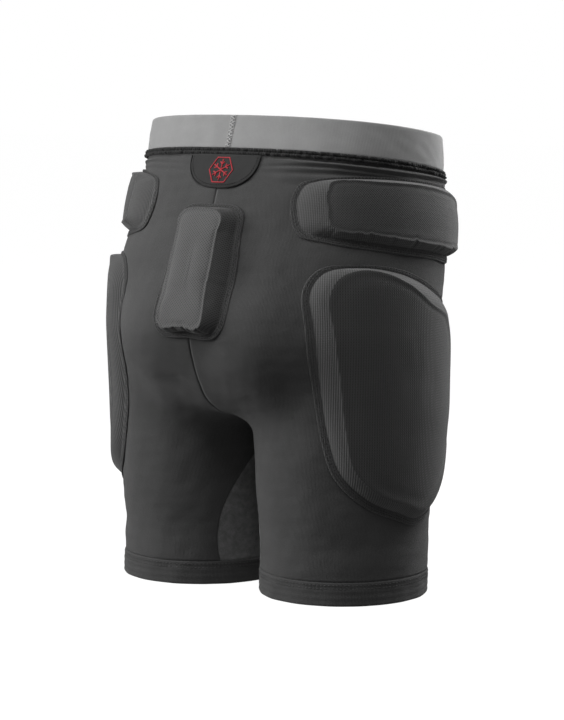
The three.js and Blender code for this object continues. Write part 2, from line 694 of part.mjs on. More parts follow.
// ---- The named pieces ----
const cloth = (color, roughness = 0.95) => new THREE.MeshStandardMaterial({ color, roughness, metalness: 0 });
const elasticGrey = cloth(0x8c8c8c);
const threadGrey = cloth(0xb4b4b4);
const charcoal = cloth(0x333333);
const charcoalMesh = cloth(0x2a2a2a);
const nearBlack = cloth(0x161616);
const coverGrey = cloth(0x4a4a4a);
const foamBlack = cloth(0x222222, 0.85);
const signalRed = cloth(0xa83a3c, 0.8);

const shorts = new THREE.Group();
function piece(name, geometry, material) {
  const mesh = new THREE.Mesh(geometry, material.clone());
  mesh.name = name;
  shorts.add(mesh);
}

function mirrored(geometry) {
  const other = geometry.index ? geometry.toNonIndexed() : geometry.clone();
  const position = other.getAttribute("position");
  for (let i = 0; i < position.count; i += 3) {
    const corner = (k) => [-position.getX(i + k), position.getY(i + k), position.getZ(i + k)];
    const [a, b, c] = [corner(0), corner(1), corner(2)];
    position.setXYZ(i, ...a);
    position.setXYZ(i + 1, ...c);
    position.setXYZ(i + 2, ...b);
  }
  other.computeVertexNormals();
  return other;
}

function pair(name, geometry, material) {
  piece(`left_${name}`, geometry, material);
  piece(`right_${name}`, mirrored(geometry), material);
}

piece("waistband", sheet(bandRows, BAND_PROUD - BAND_THICK, BAND_PROUD, true), elasticGrey);
piece("waistband_join_stitching", sheet(joinRows, joinSeat, joinSeat + THREAD), threadGrey);
piece("waist_seam_stitching", sheet(waistStitchRows, BAND_PROUD + GAP, BAND_PROUD + GAP + 2 * THREAD, true), nearBlack);
pair("side_panel", sheet(panelRows, -FABRIC, 0), charcoal);
pair("inner_thigh_panel", sheet(insertRows, -FABRIC, 0), charcoalMesh);
pair("hem", sheet(hemRows, HEM_PROUD - HEM_THICK, HEM_PROUD, true), charcoal);
pair("hem_stitching", sheet(hemStitchRows, HEM_PROUD + GAP, HEM_PROUD + GAP + THREAD, true), nearBlack);
piece("centre_back_seam", centreSeam(backLine, backLength), nearBlack);
piece("centre_front_seam", centreSeam(frontLine, frontLength), nearBlack);
piece("label_patch", labelGeometry, nearBlack);
piece("label_piping", pipingGeometry, nearBlack);
piece("label_motif", motifGeometry(), signalRed);

piece("tailbone_pad_foam", foamGeometry(TAIL_PAD), foamBlack);
piece("tailbone_pad_cover", coverGeometry(TAIL_PAD), coverGrey);
piece("tailbone_pad_stitching", stitchGeometry(TAIL_PAD), nearBlack);
pair("hip_pad_foam", foamGeometry(HIP_PAD), foamBlack);
pair("hip_pad_cover", coverGeometry(HIP_PAD), coverGrey);
pair("hip_pad_stitching", stitchGeometry(HIP_PAD), nearBlack);
pair("thigh_pad_foam", foamGeometry(THIGH_PAD), foamBlack);
pair("thigh_pad_cover", coverGeometry(THIGH_PAD), coverGrey);
pair("thigh_pad_stitching", stitchGeometry(THIGH_PAD), nearBlack);

// The origin is the middle of the footprint, at the hems.
const box = new THREE.Box3().setFromObject(shorts);
shorts.position.y = -(box.min.y + box.max.y) / 2;
const model = new THREE.Group();
model.add(shorts);

export default model;
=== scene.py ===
"""Padded impact shorts: the visual model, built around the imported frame.

The body form is worked out in millimetres: x = 0 down the middle, z = 0 at the hems, and y from the side line
of the waist. to_frame() turns such a place into metres in the frame's own axes.
"""

import math

import bpy
import numpy as np
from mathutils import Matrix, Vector


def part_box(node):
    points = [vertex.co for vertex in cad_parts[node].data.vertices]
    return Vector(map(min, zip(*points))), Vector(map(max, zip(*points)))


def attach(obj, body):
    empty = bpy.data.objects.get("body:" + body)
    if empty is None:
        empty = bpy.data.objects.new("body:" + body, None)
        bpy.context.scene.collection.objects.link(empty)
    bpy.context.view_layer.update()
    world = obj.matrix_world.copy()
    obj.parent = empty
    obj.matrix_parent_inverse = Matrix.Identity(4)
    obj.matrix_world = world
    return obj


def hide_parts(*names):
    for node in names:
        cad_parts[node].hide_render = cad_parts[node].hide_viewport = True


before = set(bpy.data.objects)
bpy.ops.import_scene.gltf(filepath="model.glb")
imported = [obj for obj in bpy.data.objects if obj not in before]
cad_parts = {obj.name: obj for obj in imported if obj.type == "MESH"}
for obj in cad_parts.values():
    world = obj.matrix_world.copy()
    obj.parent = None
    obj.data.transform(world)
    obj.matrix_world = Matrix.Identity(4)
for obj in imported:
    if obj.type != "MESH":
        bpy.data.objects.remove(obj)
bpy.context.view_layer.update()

# ---- Driving sizes, millimetres ----
INSEAM = 149.0
RISE = 291.0
WAIST_TILT = 0.163
WAIST_HALF_WIDTH = 158.0
WAIST_TO_BACK = 95.0
WAIST_TO_FRONT = 103.0
HIP_HALF_WIDTH = 165.0
SEAT_TO_BACK = 158.5
BELLY_TO_FRONT = 117.0
WAIST_SQUARENESS = 0.25
LEG_APART = 85.0
HEM_RADIUS = 80.0
HEM_RADIUS_DEEP = 81.5
THIGH_RADIUS = 85.0
THIGH_RADIUS_DEEP = 91.5
BAND_HEIGHT = 34.0
BAND_THICK = 2.4
BAND_PROUD = 0.4
FABRIC = 1.6
HEM_HEIGHT = 22.0
HEM_THICK = 2.8
HEM_PROUD = 0.8
GAP = 0.3
FLANGE = 7.0
PAD_SEAT = 0.5
COVER = 1.2
HIP_PAD_HEIGHT = 11.0
THIGH_PAD_HEIGHT = 11.0
TAIL_PAD_HEIGHT = 15.5
PAD_AXIS = (70.0, 20.0)
PAD_WRAP_RADIUS = 97.0
TAIL_HALF_WIDTH = 44.0
LABEL_HALF_WIDTH = 42.0
LABEL_DEPTH = 32.0
LABEL_TOP = 7.0
MOTIF_RADIUS = 14.0
CORE_Y = 15.0  # a line up the trunk, well inside it
SIDES = ((1, "left"), (-1, "right"))
WAIST_TOP = INSEAM + RISE
WAIST_SEAM = WAIST_TOP - BAND_HEIGHT


def trunk_level(part):
    return INSEAM + part * RISE


def leg_level(part):
    return part * INSEAM


# ---- Body form: the same levels as the frame's panels ----
def clamp(t):
    return np.clip(t, 0, 1)


def places(*parts):
    """Places, or directions, from their coordinates. A coordinate may be one number for all of them."""
    return np.stack(np.broadcast_arrays(*parts), -1)


def hermite(heights, values):
    """A smooth curve through the values: cubic, with slopes from the neighbours."""
    x, v = np.array(heights), np.array(values)
    slope = np.empty(len(x))
    slope[0], slope[-1] = (v[1] - v[0]) / (x[1] - x[0]), (v[-1] - v[-2]) / (x[-1] - x[-2])
    slope[1:-1] = (v[2:] - v[:-2]) / (x[2:] - x[:-2])

    def value(z):
        z = np.clip(z, x[0], x[-1])
        i = np.clip(np.searchsorted(x, z, side="right") - 1, 0, len(x) - 2)
        span = x[i + 1] - x[i]
        t = (z - x[i]) / span
        start = (2 * t**3 - 3 * t**2 + 1) * v[i] + (t**3 - 2 * t**2 + t) * span * slope[i]
        end = (3 * t**2 - 2 * t**3) * v[i + 1] + (t**3 - t**2) * span * slope[i + 1]
        return start + end

    return value


def from_sizes(heights, *groups):
    """A smooth curve whose values come in groups: a driving size, and what each value adds to it."""
    return hermite(heights, [size + more for size, changes in groups for more in changes])


TRUNK_PARTS = [-0.1, 0.055, 0.175, 0.33, 0.416, 0.519, 0.656, 0.845, 1.0, 1.103]
HIP_CHANGES = (-29, -20, -14, -8, -5.5, -2.5, 0)
SEAT_CHANGES = (-56.5, -40.5, -16.5, 0, -2.5, -10.5, -24.5)
BELLY_CHANGES = (-49, -35, -25, -13, -8, -3, 0)
trunk_z = [trunk_level(part) for part in TRUNK_PARTS]
trunk_width = from_sizes(trunk_z, (HIP_HALF_WIDTH, HIP_CHANGES), (WAIST_HALF_WIDTH, (1, 0, -0.5)))
trunk_back = from_sizes(trunk_z, (SEAT_TO_BACK, SEAT_CHANGES), (WAIST_TO_BACK, (18.5, 0, -7)))
trunk_front = from_sizes(trunk_z, (BELLY_TO_FRONT, BELLY_CHANGES), (WAIST_TO_FRONT, (10, 0, -5)))
leg_z = [leg_level(part) for part in (-0.067, 0.336, 0.705, 1.174, 2.01)]
leg_x = from_sizes(leg_z, (LEG_APART, (1.2, 0.6, 0, -1, -5)))
leg_y = hermite(leg_z, [33, 31, 30, 27.5, 27])
leg_across = from_sizes(leg_z, (HEM_RADIUS, (-0.5, 0)), (THIGH_RADIUS, (-2.5, 0, -1)))
leg_deep = from_sizes(leg_z, (HEM_RADIUS_DEEP, (-0.5, 0.5)), (THIGH_RADIUS_DEEP, (-4, 0, 1.5)))
SQUARE_FROM = trunk_level(0.553)
SQUARE_RUN = 0.24 * RISE
TRUNK_END = trunk_level(0.07)
LEG_END = trunk_level(0.62)
BUTTOCK_CENTRE = np.array([56.0, 88.0, trunk_level(0.333)])
BUTTOCK_RADIUS = np.array([56.0, SEAT_TO_BACK - 89.5, 60.0])
BLEND = 24.0


def smooth_min(a, b, soft):
    h = clamp(0.5 + 0.5 * (b - a) / soft)
    return b * (1 - h) + a * h - soft * h * (1 - h)


def field(p):
    """Less than zero inside the body form, zero on the outer face of the shorts."""
    x, y, z = np.abs(p[..., 0]), p[..., 1], p[..., 2]
    width, back, front = trunk_width(z), trunk_back(z), trunk_front(z)
    depth, middle = (back + front) / 2, (back - front) / 2
    power = np.where(y > middle, 2 + WAIST_SQUARENESS * clamp((z - SQUARE_FROM) / SQUARE_RUN), 2.0)
    ring = ((x / width) ** power + np.abs((y - middle) / depth) ** power) ** (1 / power)
    trunk = -smooth_min(-(ring - 1) * np.minimum(width, depth), z - TRUNK_END, 30)
    across, deep = leg_across(z), leg_deep(z)
    leg_ring = np.hypot((x - leg_x(z)) / across, (y - leg_y(z)) / deep)
    leg = -smooth_min(-(leg_ring - 1) * np.minimum(across, deep), LEG_END - z, 40)
    ball = np.linalg.norm((places(x, y, z) - BUTTOCK_CENTRE) / BUTTOCK_RADIUS, axis=-1)
    buttock = (ball - 1) * BUTTOCK_RADIUS[2]
    return smooth_min(smooth_min(trunk, leg, BLEND), buttock, BLEND)


def slope(p, step=0.5):
    result = np.empty(p.shape)
    for axis in range(3):
        ahead, behind = p.copy(), p.copy()
        ahead[..., axis] += step
        behind[..., axis] -= step
        result[..., axis] = (field(ahead) - field(behind)) / (2 * step)
    return result


def unit(v):
    return v / np.maximum(np.linalg.norm(v, axis=-1, keepdims=True), 1e-9)


def outward(p):
    return unit(slope(p))


def project(p, rounds=3):
    """Moves places on to the form along its slope."""
    for _ in range(rounds):
        g = slope(p)
        p = p - (field(p) / (g**2).sum(-1))[..., None] * g
    return p


def cast(origins, towards, halved=True):
    """Where each line from inside the form first leaves it, or leaves the left half where halved."""
    origins, towards = np.broadcast_arrays(np.asarray(origins, float), unit(np.asarray(towards, float)))

    def outside(t):
        p = origins + towards * t[..., None]
        return np.maximum(field(p), -p[..., 0] if halved else -1.0) > 0

    step = 5.0
    near = np.zeros(origins.shape[:-1])
    found = np.zeros(near.shape, bool)
    for k in range(1, 64):
        found |= outside(np.full(near.shape, k * step)) & ~found
        near = np.where(found, near, k * step)
        if found.all():
            break
    far = near + step
    for _ in range(18):
        middle = (near + far) / 2
        out = outside(middle)
        near, far = np.where(out, near, middle), np.where(out, middle, far)
    return origins + towards * ((near + far) / 2)[..., None]


# ---- From the form's millimetres to the frame's metres ----
hem_low, hem_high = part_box("left_hem")
hem_z = np.array([0.0, HEM_HEIGHT])
hem_back, hem_front = (leg_y(hem_z) + leg_deep(hem_z)).max(), (leg_y(hem_z) - leg_deep(hem_z)).min()
SHIFT = (hem_low.y + hem_high.y) * 500 - (hem_back + hem_front) / 2


def to_frame(points):
    return (np.asarray(points, float) + np.array([0, SHIFT, 0])) / 1000


# ---- Meshes from grids of places ----
def add_object(name, data):
    made = bpy.data.objects.new(name, data)
    bpy.context.scene.collection.objects.link(made)
    return made


def mesh_object(name, points, faces, materials, uv=None, face_materials=None, uv_index=None):
    """A smooth mesh in the frame. uv has one row for each point, or for each entry of uv_index."""
    mesh = bpy.data.meshes.new(name)
    mesh.from_pydata(to_frame(points).tolist(), [], [list(map(int, f)) for f in faces])
    mesh.polygons.foreach_set("use_smooth", np.ones(len(mesh.polygons), bool))
    for material in materials:
        mesh.materials.append(material)
    if face_materials is not None:
        mesh.polygons.foreach_set("material_index", np.asarray(face_materials, np.int32))
    if uv is not None:
        corners = np.concatenate([np.asarray(f) for f in (faces if uv_index is None else uv_index)])
        layer = mesh.uv_layers.new(name="cloth")
        layer.data.foreach_set("uv", np.asarray(uv, np.float32)[corners].ravel())
    mesh.validate(clean_customdata=False)
    mesh.update()
    piece = add_object(name, mesh)
    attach(piece, "root")
    return piece


def grid_faces(rows, columns, looped=False):
    """Quads of a grid of rows x columns points. The columns of a looped grid join up."""
    across = columns if looped else columns - 1
    r, c = np.meshgrid(np.arange(rows - 1), np.arange(across), indexing="ij")
    c2 = (c + 1) % columns
    quads = places(r * columns + c, (r + 1) * columns + c, (r + 1) * columns + c2, r * columns + c2)
    return quads.reshape(-1, 4)


def mirror(points):
    return points * np.array([-1, 1, 1])


def steps_along(points, axis, looped=False):
    """Distance from the first place of each line of a grid, in metres."""
    if looped:
        points = np.concatenate([points, np.take(points, [0], axis)], axis)
    gaps = np.linalg.norm(np.diff(points, axis=axis), axis=-1) / 1000
    first = np.zeros_like(np.take(gaps, [0], axis))
    return np.concatenate([first, np.cumsum(gaps, axis)], axis)


def cloth_piece(name, points, uv, material, side=1, turn=1, thick=FABRIC, offset=-1.0):
    """A thick sheet from a grid of places on the left half. turn is -1 where its faces look inwards."""
    faces = grid_faces(*points.shape[:2])[:, :: side * turn]
    if side < 0:
        points = mirror(points)
    piece = mesh_object(name, points.reshape(-1, 3), faces, [material], uv.reshape(-1, 2))
    solid = piece.modifiers.new("thickness", "SOLIDIFY")
    solid.thickness = thick / 1000
    solid.offset = offset
    solid.use_even_offset = False
    return piece


def swept_band(name, loop_at, profile, material, lumps=None):
    """A closed band round a loop. profile lists (height, distance out) round its cross-section, in order."""
    profile = np.array(profile)
    heights, index = np.unique(profile[:, 0], return_inverse=True)
    loops = [loop_at(height) for height in heights]
    points = np.array([loops[i][0] + loops[i][1] * out for i, out in zip(index, profile[:, 1])])
    if lumps is not None:
        points = points + np.array([loops[i][1] for i in index]) * lumps(points, profile)[..., None]
    rows, columns = points.shape[:2]
    here, last = np.arange(columns), (rows - 1) * columns
    after = (here + 1) % columns
    closing = places(last + here, here, after, last + after)
    faces = np.concatenate([grid_faces(rows, columns, looped=True), closing])
    round_about = steps_along(points[:1], 1, looped=True)[0]
    down = np.concatenate([steps_along(points, 0)[:, 0], [0.0]])
    down[-1] = down[-2] + np.linalg.norm(points[-1, 0] - points[0, 0]) / 1000
    uv = np.stack(np.meshgrid(down, round_about, indexing="ij")[::-1], -1).reshape(-1, 2)
    wide = columns + 1
    r, c = np.meshgrid(np.arange(rows), np.arange(columns), indexing="ij")
    uv_index = places(r * wide + c, (r + 1) * wide + c, (r + 1) * wide + c + 1, r * wide + c + 1)
    return mesh_object(name, points.reshape(-1, 3), faces, [material], uv, uv_index=uv_index.reshape(-1, 4))


# ---- Loops round the waist and round a leg ----
WAIST_COLUMNS = 480
HEM_COLUMNS = 300
ROLL_COLUMNS = 1080


def turns(count):
    return np.arange(count) / count * 2 * math.pi


def in_plane(normal, plane):
    plane = unit(np.array(plane, float))
    return unit(normal - (normal @ plane)[..., None] * plane)


def waist_loop(height, columns=WAIST_COLUMNS):
    turn = turns(columns)
    heading = places(np.sin(turn), np.cos(turn), WAIST_TILT * np.cos(turn))
    points = cast([0, 0, height], heading, halved=False)
    return points, in_plane(outward(points), (0, -WAIST_TILT, 1))


def leg_centre(z):
    return [float(leg_x(z)), float(leg_y(z)), z]


def leg_loop(height, columns=HEM_COLUMNS):
    turn = turns(columns)
    points = cast(leg_centre(max(height, 0.0)), places(np.sin(turn), np.cos(turn), 0))
    return points, in_plane(outward(points), (0, 0, 1))


# ---- Centre line and the panel grid of the left half ----
def centre_line():
    """Where x = 0 cuts the form: from the back of the waist, between the legs, to the front of the waist."""
    turn = np.radians(np.linspace(80, -260, 1361))
    return cast([0, CORE_Y, trunk_level(0.588)], places(0, np.cos(turn), np.sin(turn)), halved=False)


def below_waist(line):
    over = line[:, 2] - WAIST_TILT * line[:, 1] - WAIST_SEAM + GAP
    first = int(np.argmax(over < 0))
    share = over[first - 1] / (over[first - 1] - over[first])
    return np.vstack([line[first - 1] + (line[first] - line[first - 1]) * share, line[first:]])


def travelled(line):
    """The distance along a line of places to each of them."""
    return np.concatenate([[0], np.cumsum(np.linalg.norm(np.diff(line, axis=0), axis=1))])


def between(where, stops, values):
    """Each column of values, known at the stops, at other distances."""
    return np.stack([np.interp(where, stops, column) for column in values.T], -1)


def along(line, parts):
    stops = travelled(line)
    return between(np.asarray(parts) * stops[-1], stops, line)


middle_line = centre_line()
lowest = int(np.argmin(middle_line[:, 2]))
back_line = below_waist(middle_line[: lowest + 1])
front_line = below_waist(middle_line[lowest:][::-1])
CROTCH = middle_line[lowest]
CROTCH_OPENING = 6.0
INSERT_TOP_ANGLE = 5.0
INSERT_WIDE_ANGLE = 43.0
INSERT_WIDE_HEIGHT = 48.0
TRUNK_ROWS = 48
CREASED_ROWS = 26
LEG_ROWS = 24
PANEL_COLUMNS = 72
FAN_TOP = np.array([PAD_AXIS[0] + 5, 5.0])  # (x, y) that a row of the panel is cast from, at the waist
FAN_FOOT = np.array([LEG_APART - 1, 32.0])  # and at the crotch


def fan(guides, parts):
    """Directions that turn evenly through a list of guides, an equal share of parts to each."""
    guides = unit(np.array(guides, float))
    place = np.asarray(parts) * (len(guides) - 1)
    index = np.minimum(place.astype(int), len(guides) - 2)
    share = (place - index)[:, None]
    a, b = guides[index], guides[index + 1]
    angle = np.arccos(np.clip((a * b).sum(-1), -1, 1))[:, None]
    return (np.sin((1 - share) * angle) * a + np.sin(share * angle) * b) / np.sin(angle)


def insert_angle(z):
    """Half the angle that the inner-thigh panel spans at a height."""
    spread = np.sin((CROTCH[2] - z) / (CROTCH[2] - INSERT_WIDE_HEIGHT) * math.pi / 2)
    return math.radians(INSERT_TOP_ANGLE + (INSERT_WIDE_ANGLE - INSERT_TOP_ANGLE) * spread)


def inwards(angle):
    return [-math.cos(angle), math.sin(angle), 0]


def panel_rows():
    parts = np.linspace(0, 1, PANEL_COLUMNS + 1)
    rows = []
    back_share, front_share = (1 - CROTCH_OPENING / travelled(line)[-1] for line in (back_line, front_line))
    for down in np.linspace(0, 1, TRUNK_ROWS + 1):
        back, front = along(back_line, [down * back_share])[0], along(front_line, [down * front_share])[0]
        tilt = WAIST_TILT * (1 - down)
        x, y = FAN_TOP + (FAN_FOOT - FAN_TOP) * down
        z = WAIST_SEAM - GAP + (CROTCH[2] - WAIST_SEAM + GAP) * down + tilt * y
        centre = np.array([x, y, z])
        guides = [back - centre, [0, 1, tilt], [1, 0, 0], [0, -1, -tilt], front - centre]
        rows.append(cast(centre, fan(guides, parts)))
    for down in np.linspace(0, 1, LEG_ROWS + 1)[1:]:
        z = CROTCH[2] + (HEM_HEIGHT + GAP - CROTCH[2]) * down
        angle = insert_angle(z)
        guides = [inwards(angle), [0, 1, 0], [1, 0, 0], [0, -1, 0], inwards(-angle)]
        rows.append(cast(leg_centre(z), fan(guides, parts)))
    return np.array(rows)


def relax(points, rounds):
    """Evens out the places inside a grid's edges, and puts each one back on the form."""
    for _ in range(rounds):
        inner = (points[:-2, 1:-1] + points[2:, 1:-1] + points[1:-1, :-2] + points[1:-1, 2:]) / 4
        inner = project(inner, 1)
        inner[..., 0] = np.maximum(inner[..., 0], GAP / 2)
        points[1:-1, 1:-1] = inner
    return points


def settle(points, rounds, held):
    """Puts a grid back on the form. Its side edges keep x, and its first and last rows the held axes."""
    kept = points.copy()
    points = project(points, rounds)
    points[..., 0] = np.maximum(points[..., 0], GAP / 2)
    points[:, [0, -1], 0] = kept[:, [0, -1], 0]
    points[0, :, held], points[-1, :, held] = kept[0, :, held], kept[-1, :, held]
    return points


def finer(points):
    """Twice as many rows and columns, on the form."""
    rows, columns = points.shape[:2]
    wide = np.empty((rows, columns * 2 - 1, 3))
    wide[:, ::2], wide[:, 1::2] = points, (points[:, 1:] + points[:, :-1]) / 2
    tall = np.empty((rows * 2 - 1, columns * 2 - 1, 3))
    tall[::2], tall[1::2] = wide, (wide[1:] + wide[:-1]) / 2
    return settle(tall, 3, 2)


def denser_top(points):
    """Four times as many rows just below the waist seam, where the knit is creased."""
    rows = len(points)
    close, wide = np.linspace(0, CREASED_ROWS, CREASED_ROWS * 4 + 1), np.arange(CREASED_ROWS + 1, rows)
    place = np.concatenate([close, wide])
    index = np.minimum(place.astype(int), rows - 2)
    share = (place - index)[:, None, None]
    return settle(points[index] * (1 - share) + points[index + 1] * share, 2, slice(None))


def gauss(t):
    return np.exp(-(t**2))


def waviness(p, size, seed):
    """A smooth, seeded unevenness between about -1 and 1, with bumps of about the given size."""
    rng = np.random.RandomState(seed)
    total = np.zeros(p.shape[:-1])
    for _ in range(7):
        wave = rng.normal(size=3)
        wave *= (0.7 + 0.8 * rng.rand()) * 2 * math.pi / size / np.linalg.norm(wave)
        total += np.sin(p @ wave + rng.rand() * 2 * math.pi)
    return total / 2.6


# Pull creases: how far below the waist seam at the back and at the side, width, height
CREASES = ((17, 11, 2.6, 2.0), (12, 7.5, 1.8, 2.2), (7.5, 5, 1.5, -1.6), (27, 15, 4.0, 0.9))
LEFT_CREASES = 0.4  # the wearer's left side shows weaker creases
SEAT_FOLD_Z = 201
RIGHT_SEAT_FOLD = 0.35
RIPPLE_Z = 42


def folds(p, side):
    """How far the worn knit stands out from the smooth form, in millimetres. side is 1 for the left half."""
    x, y, z = np.abs(p[..., 0]), p[..., 1], p[..., 2]
    drop = WAIST_SEAM + WAIST_TILT * y - z
    turn = np.degrees(np.arctan2(x, y))
    rise = clamp((turn - 18) / 35) * clamp((172 - turn) / 40) * (LEFT_CREASES if side > 0 else 1)
    pulls = 0
    for start, end, width, height in CREASES:
        level = start + (end - start) * clamp((turn - 20) / 90) + 0.7 * np.sin(turn / 9 + start)
        below = (drop - level) / width
        pulls = pulls + height * (gauss(below) - 0.8 * gauss(below - 1.6))
    fold_z = SEAT_FOLD_Z + 3 * np.sin(x / 16) + 0.10 * (x - 20)
    reach = clamp((x - 4) / 20) * clamp((66 - x) / 22) * (y > 60) * (1 if side > 0 else RIGHT_SEAT_FOLD)
    gluteal = reach * (0.9 * gauss((z - fold_z - 10) / 9) - 1.7 * gauss((z - fold_z) / 5.5))
    ripple = 0.55 * np.sin(z / 6.2 + 0.02 * y) * gauss((z - RIPPLE_Z) / 20) * clamp((x - 90) / 50)
    seam = -0.45 * gauss((x - GAP / 2) / 1.2) * (z > CROTCH[2] + 4)
    soft = 0.45 * waviness(p * [side, 1, 1], 60, 3) + 0.16 * waviness(p * [side, 1, 1], 17, 5)
    hold = clamp(drop / 4) * clamp((z - HEM_HEIGHT) / 8)
    return seam + hold * (rise * pulls + gluteal + ripple + soft)


def side_panel(side, word, grid, material):
    points = grid + outward(grid) * folds(grid, side)[..., None]
    across = steps_along(points, 1)
    uv = places(across - across[:, [PANEL_COLUMNS]], -steps_along(points, 0))
    return cloth_piece(f"{word}_side_panel_knit", points, uv, material, side, turn=-1)


INSERT_COLUMNS = 28
INSERT_LAP = 2.5  # how far the mesh runs on under the panel that it is sewn to


def insert_grid():
    """Rows down the mesh. The first and last columns lie under the side panel."""
    parts = np.linspace(1, -1, INSERT_COLUMNS + 1)

    def across(half):
        return np.concatenate([[half + INSERT_LAP], parts * (half - GAP), [-half - INSERT_LAP]])

    reach = across(CROTCH_OPENING)
    lines = [(back_line, reach[reach > 0]), (front_line, -reach[reach <= 0])]
    ends = [along(line, 1 - part / travelled(line)[-1]) for line, part in lines]
    rows = [np.vstack(ends)]
    for down in np.linspace(0, 1, LEG_ROWS * 2 + 1)[1:]:
        z = CROTCH[2] + (HEM_HEIGHT + GAP - CROTCH[2]) * down
        turn = across(insert_angle(z) * HEM_RADIUS) / HEM_RADIUS
        rows.append(cast(leg_centre(z), places(-np.cos(turn), np.sin(turn), 0)))
    points = np.array(rows)
    points[..., 0] = np.maximum(points[..., 0], GAP / 2)
    return points


def inner_thigh_panel(side, word, material):
    points = insert_grid()
    normals = outward(points)
    fuzz = 0.25 * waviness(points * [side, 1, 1], 9, 11)
    fuzz[:, [1, -2]] -= 0.5
    fuzz[:, [0, -1]] = -FABRIC - 0.3
    points = points + normals * fuzz[..., None]
    uv = places(steps_along(points, 1), -steps_along(points, 0))
    return cloth_piece(f"{word}_inner_thigh_mesh", points, uv, material, side)


# ---- Threads ----
def resample(points, normals, pitch, closed):
    """The middle, normal and heading of each stitch along a row."""
    if closed:
        points, normals = np.vstack([points, points[:1]]), np.vstack([normals, normals[:1]])
    stops = travelled(points)
    count = max(int(stops[-1] / pitch), 2)
    where = (np.arange(count) + 0.5) / count * stops[-1]
    ahead, behind = np.minimum(where + 0.4, stops[-1]), np.maximum(where - 0.4, 0)
    heading = unit(between(ahead, stops, points) - between(behind, stops, points))
    return between(where, stops, points), unit(between(where, stops, normals)), heading


def stitches(name, rows, material, pitch, length, radius, closed=True):
    """Short six-sided threads, tapered at both ends, along rows of (points, normals), as one mesh."""
    sewn = [resample(points, normals, pitch, closed) for points, normals in rows]
    centre, normal, heading = (np.concatenate([row[k] for row in sewn]) for k in range(3))
    sideways = np.cross(heading, normal)
    lengths = np.array([-0.5, -0.3, 0.3, 0.5]) * length
    widths = np.array([0.3, 1.0, 1.0, 0.3]) * radius
    sides, size = 6, 6 * len(widths)
    turn = turns(sides)
    body = centre[:, None, None] + heading[:, None, None] * lengths[None, :, None, None]
    ring = sideways[:, None, None] * np.cos(turn)[None, None, :, None]
    ring = ring + normal[:, None, None] * (np.sin(turn)[None, None, :, None])
    points = body + ring * widths[None, :, None, None] + normal[:, None, None] * radius * 0.25
    starts = (np.arange(len(centre)) * size)[:, None, None]
    faces = (grid_faces(len(widths), sides, looped=True) + starts).reshape(-1, 4)
    caps = np.array([range(sides), range(size - 1, size - 1 - sides, -1)])
    ends = (caps + starts).reshape(-1, sides)
    return mesh_object(name, points.reshape(-1, 3), [*faces, *ends], [material])


def tube_parts(path, normals, radius, sides):
    """Points and faces of a closed tube along a path."""
    heading = unit(np.gradient(path, axis=0))
    sideways = unit(np.cross(heading, normals))
    upward = np.cross(sideways, heading)
    turn = turns(sides)
    ring = sideways[:, None] * np.cos(turn)[None, :, None] + upward[:, None] * np.sin(turn)[None, :, None]
    points = path[:, None] + ring * radius
    faces = [list(f) for f in grid_faces(len(path), sides, looped=True)]
    faces += [list(range(sides)), [(len(path) - 1) * sides + k for k in range(sides)][::-1]]
    return points.reshape(-1, 3), faces


def tubes(name, paths, radius, material, sides=8):
    points, faces = [], []
    for path, normals in paths:
        new_points, new_faces = tube_parts(path, normals, radius, sides)
        start = sum(len(p) for p in points)
        points.append(new_points)
        faces += [[start + i for i in f] for f in new_faces]
    return mesh_object(name, np.vstack(points), faces, [material])


# ---- Places on the surface from a distance round and a height ----
def hip_place(q):
    angle = q[..., 0] / PAD_WRAP_RADIUS
    points = cast(places(*PAD_AXIS, q[..., 1]), places(np.sin(angle), np.cos(angle), 0))
    return points, outward(points)


def back_reach(x, z):
    return cast(places(x, CORE_Y, z), [0, 1, 0], halved=False)


def back_place(q):
    """Across the back: x from the centre line. The pad bridges the hollow between the buttocks."""
    x, z = q[..., 0], q[..., 1]
    points = back_reach(x, z)
    edge = np.where(x < 0, -1, 1) * TAIL_HALF_WIDTH
    bridge = back_reach(edge, z)
    points[..., 1] = np.maximum(points[..., 1], bridge[..., 1])
    rise = back_reach(x, z + 4) - back_reach(x, z - 4)
    lean = outward(bridge)[..., 0] * x / TAIL_HALF_WIDTH
    normals = places(np.abs(lean) * np.sign(x) * 0.5, rise[..., 2], -rise[..., 1])
    normals[..., 1:] = unit(normals[..., 1:])
    return points, unit(normals)


def label_place(q):
    x, drop = q[..., 0], q[..., 1]
    origins = places(x, CORE_Y, WAIST_SEAM - drop + WAIST_TILT * CORE_Y)
    points = cast(origins, [0, 1, WAIST_TILT], halved=False)
    return points, outward(points)


# ---- Pads ----
# Each corner of an outline is (distance round, height, width of the sloping edge, width of the sewn border).
# The face closes on the spine.
def hip_z(below_waist_seam):
    return WAIST_SEAM - below_waist_seam


def thigh_z(part):
    return THIGH_PAD_BOTTOM + (THIGH_PAD_TOP - THIGH_PAD_BOTTOM) * part


def outline_at(level, *corners):
    return [(u, level(height), bevel, border) for u, height, bevel, border in corners]


